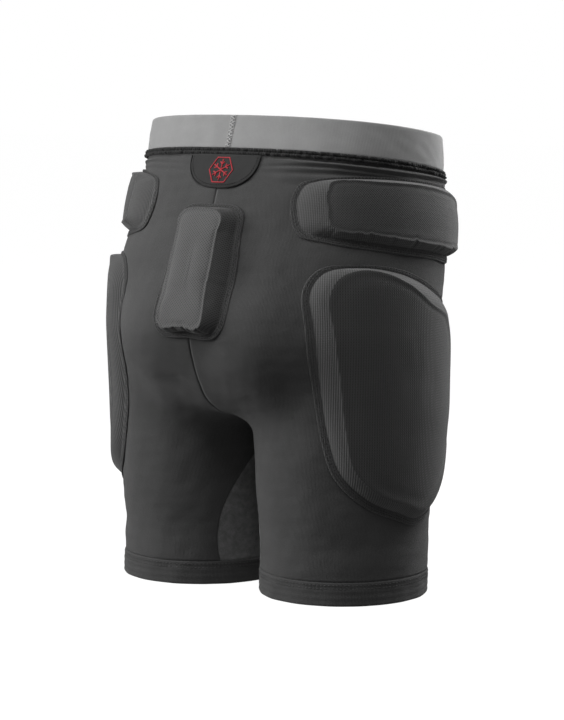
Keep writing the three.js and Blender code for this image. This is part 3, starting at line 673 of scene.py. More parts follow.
THIGH_PAD_BOTTOM = 71.0
THIGH_PAD_TOP = hip_z(87)
HIP_PAD = {
    "place": hip_place,
    "height": HIP_PAD_HEIGHT,
    "spine": [(80, hip_z(38)), (226, hip_z(58))],
    "gathers": 1.0,
    "corners": outline_at(
        hip_z,
        (12, 29, 33.5, 7), (19, 14, 28, 6), (33, 10, 19, 4), (51, 8, 5.5, 3), (110, 7.5, 4, 2.6),
        (176, 14, 5, 2.6), (228, 24, 12, 3), (254, 38, 18, 5), (261, 66, 18, 7), (246, 90, 10, 7),
        (212, 93, 7, 7), (162, 85, 5, 7), (102, 76, 5, 7), (52, 68, 6.5, 7), (22, 59, 26.5, 7),
    ),
}
THIGH_PAD = {
    "place": hip_place,
    "height": THIGH_PAD_HEIGHT,
    "spine": [(128, thigh_z(0.74)), (146, thigh_z(0.4))],
    "gathers": 0.2,
    "corners": outline_at(
        thigh_z,
        (78, 1, 4, 4), (46, 0.985, 13, 6), (33, 0.91, 17, 7), (36, 0.76, 15.5, 7), (40, 0.56, 17, 7),
        (47, 0.35, 15.5, 7), (59, 0.2, 12, 7), (86, 0.09, 9, 7), (116, 0.035, 9, 7), (144, 0, 10, 7),
        (186, 0.08, 12, 7), (216, 0.23, 12, 7), (233, 0.44, 20, 7), (235, 0.65, 24, 7), (214, 0.8, 25, 6),
        (169, 0.9, 17, 5), (121, 0.98, 9, 5),
    ),
}
TAIL_TOP = trunk_level(0.766)
TAIL_BOTTOM = trunk_level(0.345)
tail_right = [
    (TAIL_HALF_WIDTH - 18, TAIL_TOP - 1, 7, 5),
    (TAIL_HALF_WIDTH - 7, TAIL_TOP - 8, 9, 6),
    (TAIL_HALF_WIDTH - 4, TAIL_TOP - 30, 10, 6.5),
    (TAIL_HALF_WIDTH, TAIL_BOTTOM + 42, 12, 7),
    (TAIL_HALF_WIDTH - 1, TAIL_BOTTOM + 12, 11, 7),
    (TAIL_HALF_WIDTH - 12, TAIL_BOTTOM, 5, 6),
]
TAIL_PAD = {
    "place": back_place,
    "height": TAIL_PAD_HEIGHT,
    "spine": [(0, TAIL_TOP - 34), (0, TAIL_BOTTOM + 36)],
    "gathers": 0.6,
    "corners": [
        (0, TAIL_TOP, 4, 4.5),
        *tail_right,
        (0, TAIL_BOTTOM - 1, 3, 6),
        *[(-x, z, bevel, border) for x, z, bevel, border in tail_right[::-1]],
    ],
}


def closed_curve(corners, count):
    """Evenly spaced places on a smooth closed curve through the corners (centripetal Catmull-Rom), and its
    length."""
    c = np.array(corners, float)
    x, z = c[:, 0], c[:, 1]
    if (x * np.roll(z, -1) - z * np.roll(x, -1)).sum() < 0:
        c = c[::-1]
    n = len(c)
    samples = []
    for i in range(n):
        p = [c[(i + k) % n] for k in (-1, 0, 1, 2)]
        knots = np.cumsum([0] + [np.linalg.norm((b - a)[:2]) ** 0.5 for a, b in zip(p, p[1:])])
        t = np.linspace(knots[1], knots[2], 40, endpoint=False)[:, None]

        def mix(a, b, start, end):
            return (a * (end - t) + b * (t - start)) / (end - start)

        a1, a2, a3 = (mix(p[k], p[k + 1], knots[k], knots[k + 1]) for k in range(3))
        b1, b2 = mix(a1, a2, knots[0], knots[2]), mix(a2, a3, knots[1], knots[3])
        samples.append(mix(b1, b2, knots[1], knots[2]))
    line = np.vstack(samples)
    line = np.vstack([line, line[:1]])
    stops = travelled(line[:, :2])
    return between(np.arange(count) / count * stops[-1], stops, line), stops[-1]


def nearest_on(spine, q):
    a, b = np.array(spine[0], float), np.array(spine[1], float)
    share = clamp(((q - a) @ (b - a)) / ((b - a) @ (b - a)))
    return a + (b - a) * share[..., None], share


PAD_COLUMNS = 288
BEVEL_STEPS = 12
FACE_STEPS = 20
FLANGE_INSETS = (0.0, 0.5, 1.4, 2.4, 3.4, 4.4, 5.4, 6.3, 7.0)
STITCH_INSETS = (2.4, 4.4)
GROOVE_INSETS = (2.2, 4.8)
FACE_CROWN = 0.9  # how far a face's middle stands over its rim
FILL_COLUMNS = 72
FILL_FRAMES = 20
MOST_SWELL = 4.0
KIND_OF = {"flange": 0, "bevel": 1, "face": 2}


def puckers(pad, edge, around):
    """Small gathers round a pad's foot, about one each 8 mm, deepest along its lower edge: 0 or less."""
    rng = np.random.RandomState(len(pad["corners"]))
    count = len(edge)
    s = np.arange(count) / count * around
    total = np.zeros(count)
    for _ in range(int(around / 8)):
        centre, width = rng.rand() * around, 0.9 + 1.1 * rng.rand()
        gap = np.abs((s - centre + around / 2) % around - around / 2)
        total -= (0.4 + 1.4 * rng.rand()) * gauss(gap / width)
    low, high = edge[:, 1].min(), edge[:, 1].max()
    lower = np.clip(1.3 - 1.6 * (edge[:, 1] - low) / (high - low), 0.15, 1)
    return pad["gathers"] * lower * total


def pad_stations(pad, count):
    """Rings of flat places from the outline to the spine, and each one's kind and place within the kind."""
    outline, around = closed_curve(pad["corners"], count)
    edge, border = outline[:, :2], outline[:, 3]
    bevel = outline[:, 2] - 1.1 * puckers(pad, edge, around)
    foot, share = nearest_on(pad["spine"], edge)
    reach = np.linalg.norm(foot - edge, axis=1)
    bevel = np.minimum(bevel, (reach - border) * 0.6)
    begin = (border + bevel) / reach
    stations = [("flange", inset, inset / FLANGE * border / reach) for inset in FLANGE_INSETS]
    for t in np.arange(1, BEVEL_STEPS + 1) / BEVEL_STEPS:
        stations.append(("bevel", t, (border + bevel * t) / reach))
    for t in np.arange(1, FACE_STEPS) / FACE_STEPS:
        stations.append(("face", t, begin + (1 - begin) * t))
    rings = [edge + (foot - edge) * inwards_by[:, None] for _, _, inwards_by in stations]
    return rings, [(kind, t) for kind, t, _ in stations], bevel, share, around


def pad_profile(pad, kind, t, bevel):
    """Height of a pad's face above the form, for a ring."""
    top = pad["height"]
    base = PAD_SEAT + COVER
    if kind == "flange":
        grooves = 0.45 * sum(gauss((t - inset) / 0.5) for inset in GROOVE_INSETS)
        rolled = base * (1 - (1 - min(t / 1.2, 1)) ** 2) ** 0.5
        return rolled - grooves - 0.55 * gauss((t - 6.9) / 0.7)
    if kind == "bevel":
        steep = 1 - (1 - t) ** 1.6
        return base + (top - base) * steep + 0.5 * gauss((t - 1) * bevel / 1.1)
    rim = 0.5 * gauss(t / 0.03)
    return top + rim - 0.5 * gauss((t - 0.1) / 0.06) + FACE_CROWN * np.sin(t * math.pi / 2)


def simulate_pad(pad, columns=FILL_COLUMNS):
    """How far the cover's cloth moves when the pad is filled: one row for each simulated ring."""
    rings, kinds, bevel, *_ = pad_stations(pad, columns)
    keep = [i for i, k in enumerate(kinds) if (k[1] in (0.0, FLANGE) if k[0] == "flange" else i % 3 == 0)]
    rings, kinds = [rings[i] for i in keep], [kinds[i] for i in keep]
    tops, unders = [], []
    for ring, (kind, t) in zip(rings, kinds):
        points, normals = pad["place"](ring)
        tops.append(points + normals * np.broadcast_to(pad_profile(pad, kind, t, bevel), columns)[:, None])
        unders.append(points + normals * PAD_SEAT)
    middle, normal = pad["place"](np.array(pad["spine"], float).mean(0)[None])
    count = len(rings)
    tops.append(middle + normal * (pad["height"] + FACE_CROWN))
    unders.append(middle + normal * PAD_SEAT)
    upper, lower = np.vstack(tops), np.vstack(unders)
    total = len(upper)
    faces = [list(f) for f in grid_faces(count, columns, looped=True)]
    hub = count * columns
    last = (count - 1) * columns
    faces += [[last + c, hub, last + (c + 1) % columns] for c in range(columns)]
    faces += [[total + i for i in f[::-1]] for f in faces]
    faces += [[c, (c + 1) % columns, total + (c + 1) % columns, total + c] for c in range(columns)]
    mesh = bpy.data.meshes.new("filling")
    mesh.from_pydata(to_frame(np.vstack([upper, lower])).tolist(), [], faces)
    mesh.update()
    copy = add_object("filling", mesh)
    pins = copy.vertex_groups.new(name="sewn")
    pins.add([*range(2 * columns), *range(total, 2 * total)], 1.0, "REPLACE")
    cloth = copy.modifiers.new("cloth", "CLOTH")
    settings = cloth.settings
    cloth_values = {"quality": 5, "mass": 0.3, "tension_stiffness": 12, "compression_stiffness": 12,
                    "shear_stiffness": 5, "bending_stiffness": 0.6, "vertex_group_mass": "sewn",
                    "use_pressure": True, "uniform_pressure_force": 3.0}
    for key, value in cloth_values.items():
        setattr(settings, key, value)
    settings.effector_weights.gravity = 0
    cloth.collision_settings.use_collision = False
    cloth.point_cache.frame_start, cloth.point_cache.frame_end = 1, FILL_FRAMES
    for step in range(1, FILL_FRAMES + 1):
        bpy.context.scene.frame_set(step)
    moved = copy.evaluated_get(bpy.context.evaluated_depsgraph_get()).to_mesh()
    after = np.array([v.co for v in moved.vertices])[:total] * 1000 - np.array([0, SHIFT, 0])
    bpy.data.objects.remove(copy)
    bpy.context.scene.frame_set(1)
    shift = after - upper
    size = np.linalg.norm(shift, axis=1, keepdims=True)
    shift = shift * np.minimum(1, MOST_SWELL / np.maximum(size, 1e-6))
    return kinds, shift[: count * columns].reshape(count, columns, 3)


def swell_of(pad, kinds, columns):
    """The simulated movement, spread over a finer grid of rings."""

    def rank(kind, t):
        return KIND_OF[kind] + (t / FLANGE if kind == "flange" else t)

    coarse_kinds, shift = simulate_pad(pad)
    coarse, fine = ([rank(*k) for k in some] for some in (coarse_kinds, kinds))
    down = between(fine, coarse, shift.reshape(len(coarse), -1)).reshape(len(fine), -1, 3)
    wrapped = np.concatenate([down, down[:, :1]], 1)
    where = np.arange(columns) / columns * shift.shape[1]
    index = where.astype(int)
    part = (where - index)[None, :, None]
    return wrapped[:, index] * (1 - part) + wrapped[:, index + 1] * part


def pad_geometry(pad, columns=PAD_COLUMNS):
    """Places of each ring and of the spine, in space and flat, and the spine knot nearest each column."""
    rings, kinds, bevel, share, around = pad_stations(pad, columns)
    swell = swell_of(pad, kinds, columns)
    gathers = puckers(pad, rings[0], around)
    rows = []
    for k, (ring, (kind, t)) in enumerate(zip(rings, kinds)):
        points, normals = pad["place"](ring)
        height = np.broadcast_to(pad_profile(pad, kind, t, bevel), columns).copy()
        if kind == "bevel":
            height += gathers * gauss((t * bevel - 1.8) / 2.6)
        if kind == "flange":
            height += gathers * 0.35 * gauss((t - FLANGE) / 2.2)
        points = points + normals * height[:, None]
        if swell is not None and kind != "flange":
            points = points + swell[k]
        rows.append(points)
    spine = np.array(pad["spine"], float)
    knots = max(int(np.linalg.norm(spine[1] - spine[0]) / (around / columns)), 1)
    knot_flat = spine[0] + (spine[1] - spine[0]) * (np.arange(knots + 1) / knots)[:, None]
    points, normals = pad["place"](knot_flat)
    lift = swell[-1].mean(0) @ normals.mean(0) if swell is not None else 0.0
    knot_points = points + normals * (pad["height"] + FACE_CROWN + lift)
    return rows, rings, kinds, knot_points, knot_flat, np.rint(share * knots).astype(int)


def pad_cover(name, pad, side, materials, columns=PAD_COLUMNS):
    """A closed cover: the sewn border, the sloping edge, the face, and a plain underside."""
    rows, flat, kinds, knot_points, knot_flat, nearest = pad["built"]
    count = len(rows)
    points, uv = [*rows, knot_points], [*flat, knot_flat]
    under_start = sum(len(p) for p in points)
    for under in (flat[FLANGE_INSETS.index(FLANGE)], flat[-1], knot_flat):
        place, normal = pad["place"](under)
        points.append(place + normal * PAD_SEAT * 0.4)
        uv.append(under)
    faces, kinds_of = [], []

    def ring_quads(a, b, kind):
        for c in range(columns):
            d = (c + 1) % columns
            faces.append([a + c, b + c, b + d, a + d])
            kinds_of.append(kind)

    def close(a, knot_start, kind, flip):
        for c in range(columns):
            d = (c + 1) % columns
            here, there = knot_start + nearest[c], knot_start + nearest[d]
            corners = [a + c, here, a + d] if here == there else [a + c, here, there, a + d]
            faces.append(corners[::-1] if flip else corners)
            kinds_of.append(kind)

    for k in range(count - 1):
        ring_quads(k * columns, (k + 1) * columns, KIND_OF[kinds[k + 1][0]])
    close((count - 1) * columns, count * columns, 2, False)
    first, second = under_start, under_start + columns
    ring_quads(first, 0, 0)
    ring_quads(second, first, 0)
    close(second, second + columns, 0, True)
    everything, texture = np.vstack(points), np.vstack(uv) / 1000
    if side < 0:
        everything, faces = mirror(everything), [f[::-1] for f in faces]
    return mesh_object(name, everything, faces, materials, texture, face_materials=kinds_of)


def pad_threads(pad, side, name, material):
    """Two rows of stitches in the grooves of a pad's border."""
    rows = []
    for k in map(FLANGE_INSETS.index, STITCH_INSETS):
        points = pad["built"][0][k]
        normals = pad["place"](pad["built"][1][k])[1]
        rows.append((mirror(points), mirror(normals)) if side < 0 else (points, normals))
    return stitches(name, rows, material, pitch=3.2, length=2.3, radius=0.32)


# ---- Materials ----
class Nodes:
    """Short ways to write a material's nodes."""

    def __init__(self, name):
        self.material = bpy.data.materials.new(name)
        self.material.use_nodes = True
        self.tree = self.material.node_tree
        self.shader = self.tree.nodes["Principled BSDF"]

    def node(self, kind, **settings):
        made = self.tree.nodes.new(kind)
        for key, value in settings.items():
            setattr(made, key, value)
        return made

    def link(self, source, target):
        self.tree.links.new(source, target)

    @staticmethod
    def set(node, values):
        for key, value in values.items():
            node.inputs[key].default_value = value

    def maths(self, operation, a, b=0.0, c=0.0):
        made = self.node("ShaderNodeMath", operation=operation)
        for socket, value in zip(made.inputs, (a, b, c)):
            if isinstance(value, (int, float)):
                socket.default_value = value
            else:
                self.link(value, socket)
        return made.outputs[0]

    def wave(self, value, pitch):
        """A cosine along a distance in metres, from -1 to 1."""
        return self.maths("COSINE", self.maths("MULTIPLY", value, 2 * math.pi / pitch))

    def total(self, *parts):
        """The sum of (value, weight) pairs."""
        result = 0.0
        for value, weight in parts:
            result = self.maths("MULTIPLY_ADD", value, weight, result)
        return result

    def noise(self, scale, detail, roughness=0.5, reach=1.0):
        """Unevenness from -reach to reach, with scale bumps to the metre."""
        made = self.node("ShaderNodeTexNoise")
        self.set(made, {"Scale": scale, "Detail": detail, "Roughness": roughness})
        self.link(self.node("ShaderNodeTexCoord").outputs["Object"], made.inputs["Vector"])
        return self.maths("MULTIPLY_ADD", made.outputs["Fac"], 2 * reach, -reach)

    def uv(self):
        source = self.node("ShaderNodeUVMap", uv_map="cloth")
        split = self.node("ShaderNodeSeparateXYZ")
        self.link(source.outputs[0], split.inputs[0])
        return split.outputs[0], split.outputs[1]

    def ramp(self, value, low, high, dark, light):
        """A colour between dark and light as value goes from low to high."""
        spread = self.node("ShaderNodeMapRange")
        self.set(spread, {"From Min": low, "From Max": high})
        self.link(value, spread.inputs["Value"])
        mix = self.node("ShaderNodeMix", data_type="RGBA")
        self.set(mix, {"A": (*dark, 1), "B": (*light, 1)})
        self.link(spread.outputs[0], mix.inputs["Factor"])
        return mix.outputs["Result"]

    def finish(self, colour, height, depth, roughness, sheen):
        self.link(colour, self.shader.inputs["Base Color"])
        bump = self.node("ShaderNodeBump")
        self.set(bump, {"Distance": depth, "Strength": 1.0})
        self.link(height, bump.inputs["Height"])
        self.link(bump.outputs[0], self.shader.inputs["Normal"])
        rough = self.ramp(height, -1.5, 1.5, (min(roughness + 0.05, 1),) * 3, (roughness - 0.05,) * 3)
        self.link(rough, self.shader.inputs["Roughness"])
        self.set(self.shader, {"Specular IOR Level": 0.25, "Sheen Weight": sheen, "Sheen Roughness": 0.45})
        return self.material


def grey(value):
    return (value,) * 3


def knit(name, shade, wale=0.0013, course=0.0011, contrast=0.16, depth=0.00012, heather=0.16, sheen=0.25):
    """Plain stretch knit: upright ribs crossed by rows of loops, with a heathered shade."""
    n = Nodes(name)
    u, v = n.uv()
    ribs = n.wave(u, wale)
    loops = n.wave(n.total((ribs, course * 0.22), (v, 1)), course)
    height = n.total((ribs, 0.55), (loops, 0.45), (n.noise(950, 3, 0.7), 1.6))
    shading = n.total((height, contrast), (n.noise(38, 3), heather))
    colour = n.ramp(shading, -0.5, 0.5, grey(shade * 0.55), grey(shade * 1.45))
    return n.finish(colour, height, depth, 0.88, sheen)


def holes(name, shade, pitch_u, pitch_v, staggered=True, depth=0.00012, open_share=0.25, ribs=0.0, dark=0.3):
    """Spacer mesh: a lattice of holes, with an optional upright rib."""
    n = Nodes(name)
    u, v = n.uv()
    upright = n.wave(u, pitch_u)
    if staggered:
        slants = [n.wave(n.total((v, lean * pitch_u / pitch_v), (u, 1)), pitch_u) for lean in (1, -1)]
        lattice = n.maths("MAXIMUM", *slants)
    else:
        lattice = n.total((upright, 1), (n.wave(v, pitch_v), 1))
    height = n.total((lattice, 1), (upright, ribs), (n.noise(1900, 1, reach=0.35), 1))
    shading = n.total((height, 1), (n.noise(45, 3, reach=0.3), 1))
    colour = n.ramp(shading, open_share - 0.9, open_share + 0.9, grey(shade * dark), grey(shade * 1.3))
    return n.finish(colour, height, depth, 0.85, 0.3)


def fleece(name, shade):
    """Brushed mesh: a soft, uneven pile."""
    n = Nodes(name)
    pile = n.noise(1300, 4, 0.7)
    shading = n.total((pile, 1), (n.noise(170, 3, 0.6), 1))
    return n.finish(n.ramp(shading, -0.8, 0.8, grey(shade * 0.5), grey(shade * 1.5)), pile, 0.0004, 0.95, 0.5)


def elastic(name, shade):
    """Brushed knitted elastic: fine upright ribs and a soft speckle."""
    n = Nodes(name)
    u, v = n.uv()
    height = n.total((n.wave(u, 0.0014), 0.3), (n.wave(v, 0.0010), 0.3), (n.noise(1700, 2), 1))
    shading = n.total((n.noise(60, 3, reach=0.6), 0.3), (height, 0.25))
    colour = n.ramp(shading, -0.6, 0.6, grey(shade * 0.7), grey(shade * 1.3))
    return n.finish(colour, height, 0.00012, 0.9, 0.35)


def thread(name, colour, contrast=0.35):
    """Spun thread or a rolled edge: a fine unevenness."""
    n = Nodes(name)
    fine = n.noise(2200, 2)
    low, high = (tuple(min(c * (1 + change), 1) for c in colour) for change in (-contrast, contrast))
    return n.finish(n.ramp(fine, -0.6, 0.6, low, high), fine, 0.0002, 0.85, 0.2)


BODY_SHADE = 0.078
mat_seam = thread("seam_thread", grey(0.022))
mat_elastic = elastic("waist_elastic", 0.36)
mat_body = knit("side_knit", BODY_SHADE)
mat_hem = knit("hem_knit", BODY_SHADE * 0.95, contrast=0.2)
mat_insert = fleece("thigh_mesh", BODY_SHADE * 2.5)
# The pad border is the body's knit. Its shade is set a little above the body's as painted light, lifting the
# shade at the pad's foot.
mat_border_painted_light = knit("pad_border", BODY_SHADE * 1.05, wale=0.0016, depth=0.0003)
# The hip and thigh pads' sloping edges are the same mesh as their faces. Their lighter shade is partly the
# stretched mesh and partly painted light where these edges face the key light.
mat_bevel_stretch_and_painted_light = holes("cover_bevel", BODY_SHADE * 1.25, 0.0018, 0.0015, staggered=False, depth=0.00006,
                  open_share=-0.3, ribs=1.0, dark=0.7)
mat_hip_face = holes("hip_cover_mesh", BODY_SHADE, 0.0024, 0.0024, dark=0.35)
# The thigh pad's face is the hip pad's mesh, set darker as painted shade where it turns away from the key
# light.
mat_thigh_face_painted_shade = holes("thigh_cover_mesh", BODY_SHADE * 0.85, 0.0020, 0.0024, depth=0.0001,
                       open_share=0.0, ribs=0.7, dark=0.6)
# The tailbone pad's cover is one mesh. Its sloping edge is set darker than the other pads' edges as painted
# shade, where it turns away from the key light. Its face is set lighter as painted light, where it faces the
# key light.
mat_tail_bevel_painted_shade = holes("tail_bevel_mesh", BODY_SHADE, 0.0021, 0.0021, dark=0.5)
mat_tail_face_painted_light = holes("tail_cover_mesh", BODY_SHADE * 1.6, 0.0030, 0.0026, open_share=0.1, dark=0.45)
mat_stitch = thread("dark_stitch", grey(0.04))
mat_hem_thread = thread("hem_thread", grey(0.10))
mat_join = thread("join_thread", grey(0.66), contrast=0.2)
mat_label = knit("label_cloth", 0.042, wale=0.0009, course=0.0009, contrast=0.1, depth=0.00004, sheen=0.15)
mat_piping = thread("label_piping", grey(0.012))
mat_red = thread("label_red", (0.58, 0.055, 0.07), contrast=0.2)


# ---- Pieces: panels ----
def dress(piece, slot, *nodes):
    if nodes:
        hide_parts(*nodes)


def flat_sheet(piece, slot, node):
    dress(piece, slot, node)


grid = denser_top(finer(relax(panel_rows(), rounds=60)))
for side, word in SIDES:
    panel = side_panel(side, word, grid, mat_body)
    flat_sheet(panel, "side_knit", f"{word}_side_panel")
    insert = inner_thigh_panel(side, word, mat_insert)
    flat_sheet(insert, "thigh_mesh", f"{word}_inner_thigh_panel")


TAPE_HALF_WIDTH = 2.5


def centre_seam_strip(line, node):
    """The flat seam allowance inside the centre line."""
    middle = along(line, np.linspace(0.004, 0.985, 120))
    normals = outward(middle)
    across = np.linspace(-TAPE_HALF_WIDTH, TAPE_HALF_WIDTH, 7)
    points = middle[:, None] - normals[:, None] * (FABRIC + 0.9)
    points = np.repeat(points, len(across), 1)
    points[..., 0] = across
    crown = 0.35 * np.cos(across / TAPE_HALF_WIDTH * math.pi)
    points = points + normals[:, None] * crown[None, :, None] * [0, 1, 1]
    uv = places(across / 1000, steps_along(points, 0))
    dress(cloth_piece(f"{node}_tape", points, uv, mat_seam, thick=0.6, offset=0.0), "seam_thread", node)


centre_seam_strip(back_line, "centre_back_seam")
centre_seam_strip(front_line, "centre_front_seam")


# ---- Pieces: waistband, waist seam and hems ----
def band_profile(low, high, outer, inner, bulge=0.0, rounding=1.2):
    """Round a band's cross-section: up its outer face, over the fold, and down its inner face."""
    heights = np.linspace(low, high - rounding, 12)
    outside = [(z, outer + bulge * math.sin((z - low) / (high - low) * math.pi)) for z in heights]
    middle, half = (outer + inner) / 2, (outer - inner) / 2
    fold = [
        (high - rounding + rounding * math.sin(a), middle + half * math.cos(a))
        for a in np.linspace(0.2, math.pi - 0.2, 7)
    ]
    return outside + fold + [(z, inner) for z in heights[::-1]]


def elastic_waves(points, _):
    return 0.25 * waviness(points, 34, 21) + 0.10 * waviness(points, 11, 22)


waistband = swept_band(
    "waistband_elastic",
    waist_loop,
    band_profile(WAIST_SEAM + GAP, WAIST_TOP, BAND_PROUD, BAND_PROUD - BAND_THICK, bulge=0.5),
    mat_elastic,
    elastic_waves,
)
flat_sheet(waistband, "elastic", "waistband")

ROLL_LOW, ROLL_HIGH = -5.2, 1.8


def roll_profile():
    """Two rolled edges, one above the other, just below the elastic."""
    out = []
    for t in np.linspace(0, 1, 15):
        lobes = 1.5 * abs(math.sin(t * 2 * math.pi)) ** 0.7
        out.append((WAIST_SEAM + ROLL_LOW + (ROLL_HIGH - ROLL_LOW) * t, 0.5 + lobes))
    return out + [(WAIST_SEAM + ROLL_HIGH, 0.2), (WAIST_SEAM + ROLL_LOW, 0.2)]


def roll_lumps(points, profile):
    """Gathers along the rolls, stronger round the wearer's sides."""
    s = steps_along(points[:1], 1)[0] * 1000
    turn = np.arctan2(points[..., 0], points[..., 1])
    strength = 0.30 + 0.35 * np.abs(np.sin(turn))
    lobe = (profile[:, 0] - WAIST_SEAM > (ROLL_LOW + ROLL_HIGH) / 2)[:, None] * 1.3
    out = (profile[:, 1] > 0.6)[:, None]
    teeth = np.sin(s * 2 * math.pi / 2.9 + lobe) + 0.6 * np.sin(s * 2 * math.pi / 5.3 + 2 * lobe)
    return out * strength * (teeth * 0.8 + 1.1 * waviness(points, 7, 31))


def roll_loop(height):
    return waist_loop(height, ROLL_COLUMNS)


roll = swept_band("waist_seam_roll", roll_loop, roll_profile(), mat_seam, roll_lumps)
dress(roll, "seam_thread", "waist_seam_stitching")

hem_profile = [
    *[(HEM_HEIGHT + lift, out) for lift, out in ((0.9, -1.2), (0.7, -0.3), (0.2, 0.2), (-0.4, 0.6))],
    *[(z, HEM_PROUD + 0.15 * math.sin(z)) for z in np.linspace(HEM_HEIGHT - 1.1, 1.6, 16)],
    *[(0.9 - 0.9 * math.sin(a), -0.4 + 1.1 * math.cos(a)) for a in np.linspace(0.3, math.pi - 0.3, 6)],
    *[(z, HEM_PROUD - HEM_THICK) for z in np.linspace(1.6, HEM_HEIGHT - 0.6, 8)],
]
HEM_ROWS = (HEM_HEIGHT - 2.2, HEM_HEIGHT - 5.4)


def hem_pull(points, profile):
    """Two grooves under the stitches, and a slight wave of the band."""
    z = profile[:, 0][:, None]
    grooves = sum(-0.4 * gauss((z - row) / 0.7) for row in HEM_ROWS) * (profile[:, 1] > 0)[:, None]
    return grooves + 0.3 * waviness(points * [1, 1, 0.3], 26, 41) * clamp((HEM_HEIGHT - z) / 6)


for side, word in SIDES:
    hem = swept_band(f"{word}_hem_band", leg_loop, hem_profile[::-1], mat_hem, hem_pull)
    rows = []
    for z in HEM_ROWS:
        points, normals = leg_loop(z)
        rows.append((points + normals * (HEM_PROUD - 0.15), normals))
    sewn = stitches(f"{word}_hem_threads", rows, mat_hem_thread, pitch=3.7, length=2.3, radius=0.42)
    if side < 0:
        for piece in (hem, sewn):
            piece.data.transform(((-1, 0, 0, 0), (0, 1, 0, 0), (0, 0, 1, 0), (0, 0, 0, 1)))
            piece.data.flip_normals()
    flat_sheet(hem, "side_knit", f"{word}_hem")
    dress(sewn, "seam_thread", f"{word}_hem_stitching")


def waist_place(x, height):
    """On the back of the waistband: x across, and the height of the place at the side line."""
    points = cast(places(x, 0, height), [0, 1, WAIST_TILT], halved=False)
    return points, in_plane(outward(points), (0, -WAIST_TILT, 1))


def waistband_join():
    """The overlocked join at the centre back: a dense zigzag between two straight rows."""
    foot = WAIST_SEAM + 3.0
    turning = np.arange(19)
    height = np.linspace(foot, WAIST_TOP - 0.6, len(turning))
    smooth = np.linspace(0, len(turning) - 1, len(turning) * 5)
    x, z = np.interp(smooth, turning, np.where(turning % 2, 2.0, -2.3)), np.interp(smooth, turning, height)
    points, normals = waist_place(x, z)
    zigzag = (points + normals * (BAND_PROUD + 1.0), normals)
    piece = tubes("waistband_join_zigzag", [zigzag], 0.5, mat_join, sides=6)
    straight = np.linspace(foot, WAIST_TOP - 0.8, 60)
    rows = []
    for x in (-2.6, 2.3):
        points, normals = waist_place(x, straight)
        rows.append((points + normals * (BAND_PROUD + 0.95), normals))
    row = stitches("waistband_join_row", rows, mat_join, pitch=2.2, length=1.6, radius=0.42, closed=False)
    dress(piece, "join_thread", "waistband_join_stitching")
    dress(row, "join_thread")


waistband_join()

# ---- Pieces: pads ----
for pad in (TAIL_PAD, HIP_PAD, THIGH_PAD):
    pad["built"] = pad_geometry(pad)


def make_pad(name, pad, side, bevel_material, face_material):
    cover = pad_cover(f"{name}_mesh_cover", pad, side, [mat_border_painted_light, bevel_material, face_material])
    dress(cover, "cover_mesh", f"{name}_cover", f"{name}_foam")
    dress(pad_threads(pad, side, f"{name}_threads", mat_stitch), "seam_thread", f"{name}_stitching")


make_pad("tailbone_pad", TAIL_PAD, 1, mat_tail_bevel_painted_shade, mat_tail_face_painted_light)
for side, word in SIDES:
    make_pad(f"{word}_hip_pad", HIP_PAD, side, mat_bevel_stretch_and_painted_light, mat_hip_face)
    make_pad(f"{word}_thigh_pad", THIGH_PAD, side, mat_bevel_stretch_and_painted_light, mat_thigh_face_painted_shade)


# ---- Pieces: label ----
LABEL_SEAT = 0.9
LABEL_SQUARENESS = 2.4  # 2 would make its edge half an ellipse
LABEL_EDGE = LABEL_TOP - 1.5  # its top edge, tucked under the waist seam


def label_arc(count, inset=0.0):
    """Places (x, drop) along the rounded edge of the label, from its left top corner to its right one."""
    angle = np.linspace(0, math.pi, count)
    power = 2 / LABEL_SQUARENESS
    x = np.sign(np.cos(angle)) * np.abs(np.cos(angle)) ** power * (LABEL_HALF_WIDTH - inset)
    return places(x, LABEL_TOP + (LABEL_DEPTH - inset) * np.sin(angle) ** power)


def label_patch():
    """A half-round cloth patch, its edge turned down to the panel."""
    arc = label_arc(121)
    t = np.linspace(0, 1, 25)[:, None]
    flat = places(arc[:, 0], LABEL_EDGE + (arc[:, 1] - LABEL_EDGE) * t)
    points, normals = label_place(flat)
    edge = np.minimum(1, np.minimum((1 - t) * 9, (LABEL_HALF_WIDTH - np.abs(flat[..., 0])) / 3))
    height = LABEL_SEAT * np.sqrt(clamp(edge)) + 0.25 + 0.12 * waviness(points, 14, 51)
    points = points + normals * height[..., None]
    piece = cloth_piece("label_patch_cloth", points, flat / 1000, mat_label, thick=0.5)
    flat_sheet(piece, "label_cloth", "label_patch")


def label_piping():
    """A cord along the patch's edge, and a row of stitches inside it."""
    flat = label_arc(161, inset=0.6)
    flat[:, 1] = np.maximum(flat[:, 1], LABEL_EDGE)
    points, normals = label_place(flat)
    piece = tubes("label_piping_cord", [(points + normals * 0.9, normals)], 0.75, mat_piping)
    inner = label_arc(161, inset=3.4)
    points, normals = label_place(inner)
    row = stitches("label_threads", [(points + normals * (LABEL_SEAT + 0.3), normals)], mat_piping,
                   pitch=2.6, length=1.8, radius=0.3, closed=False)
    dress(piece, "label_cloth", "label_piping")
    dress(row, "label_cloth")


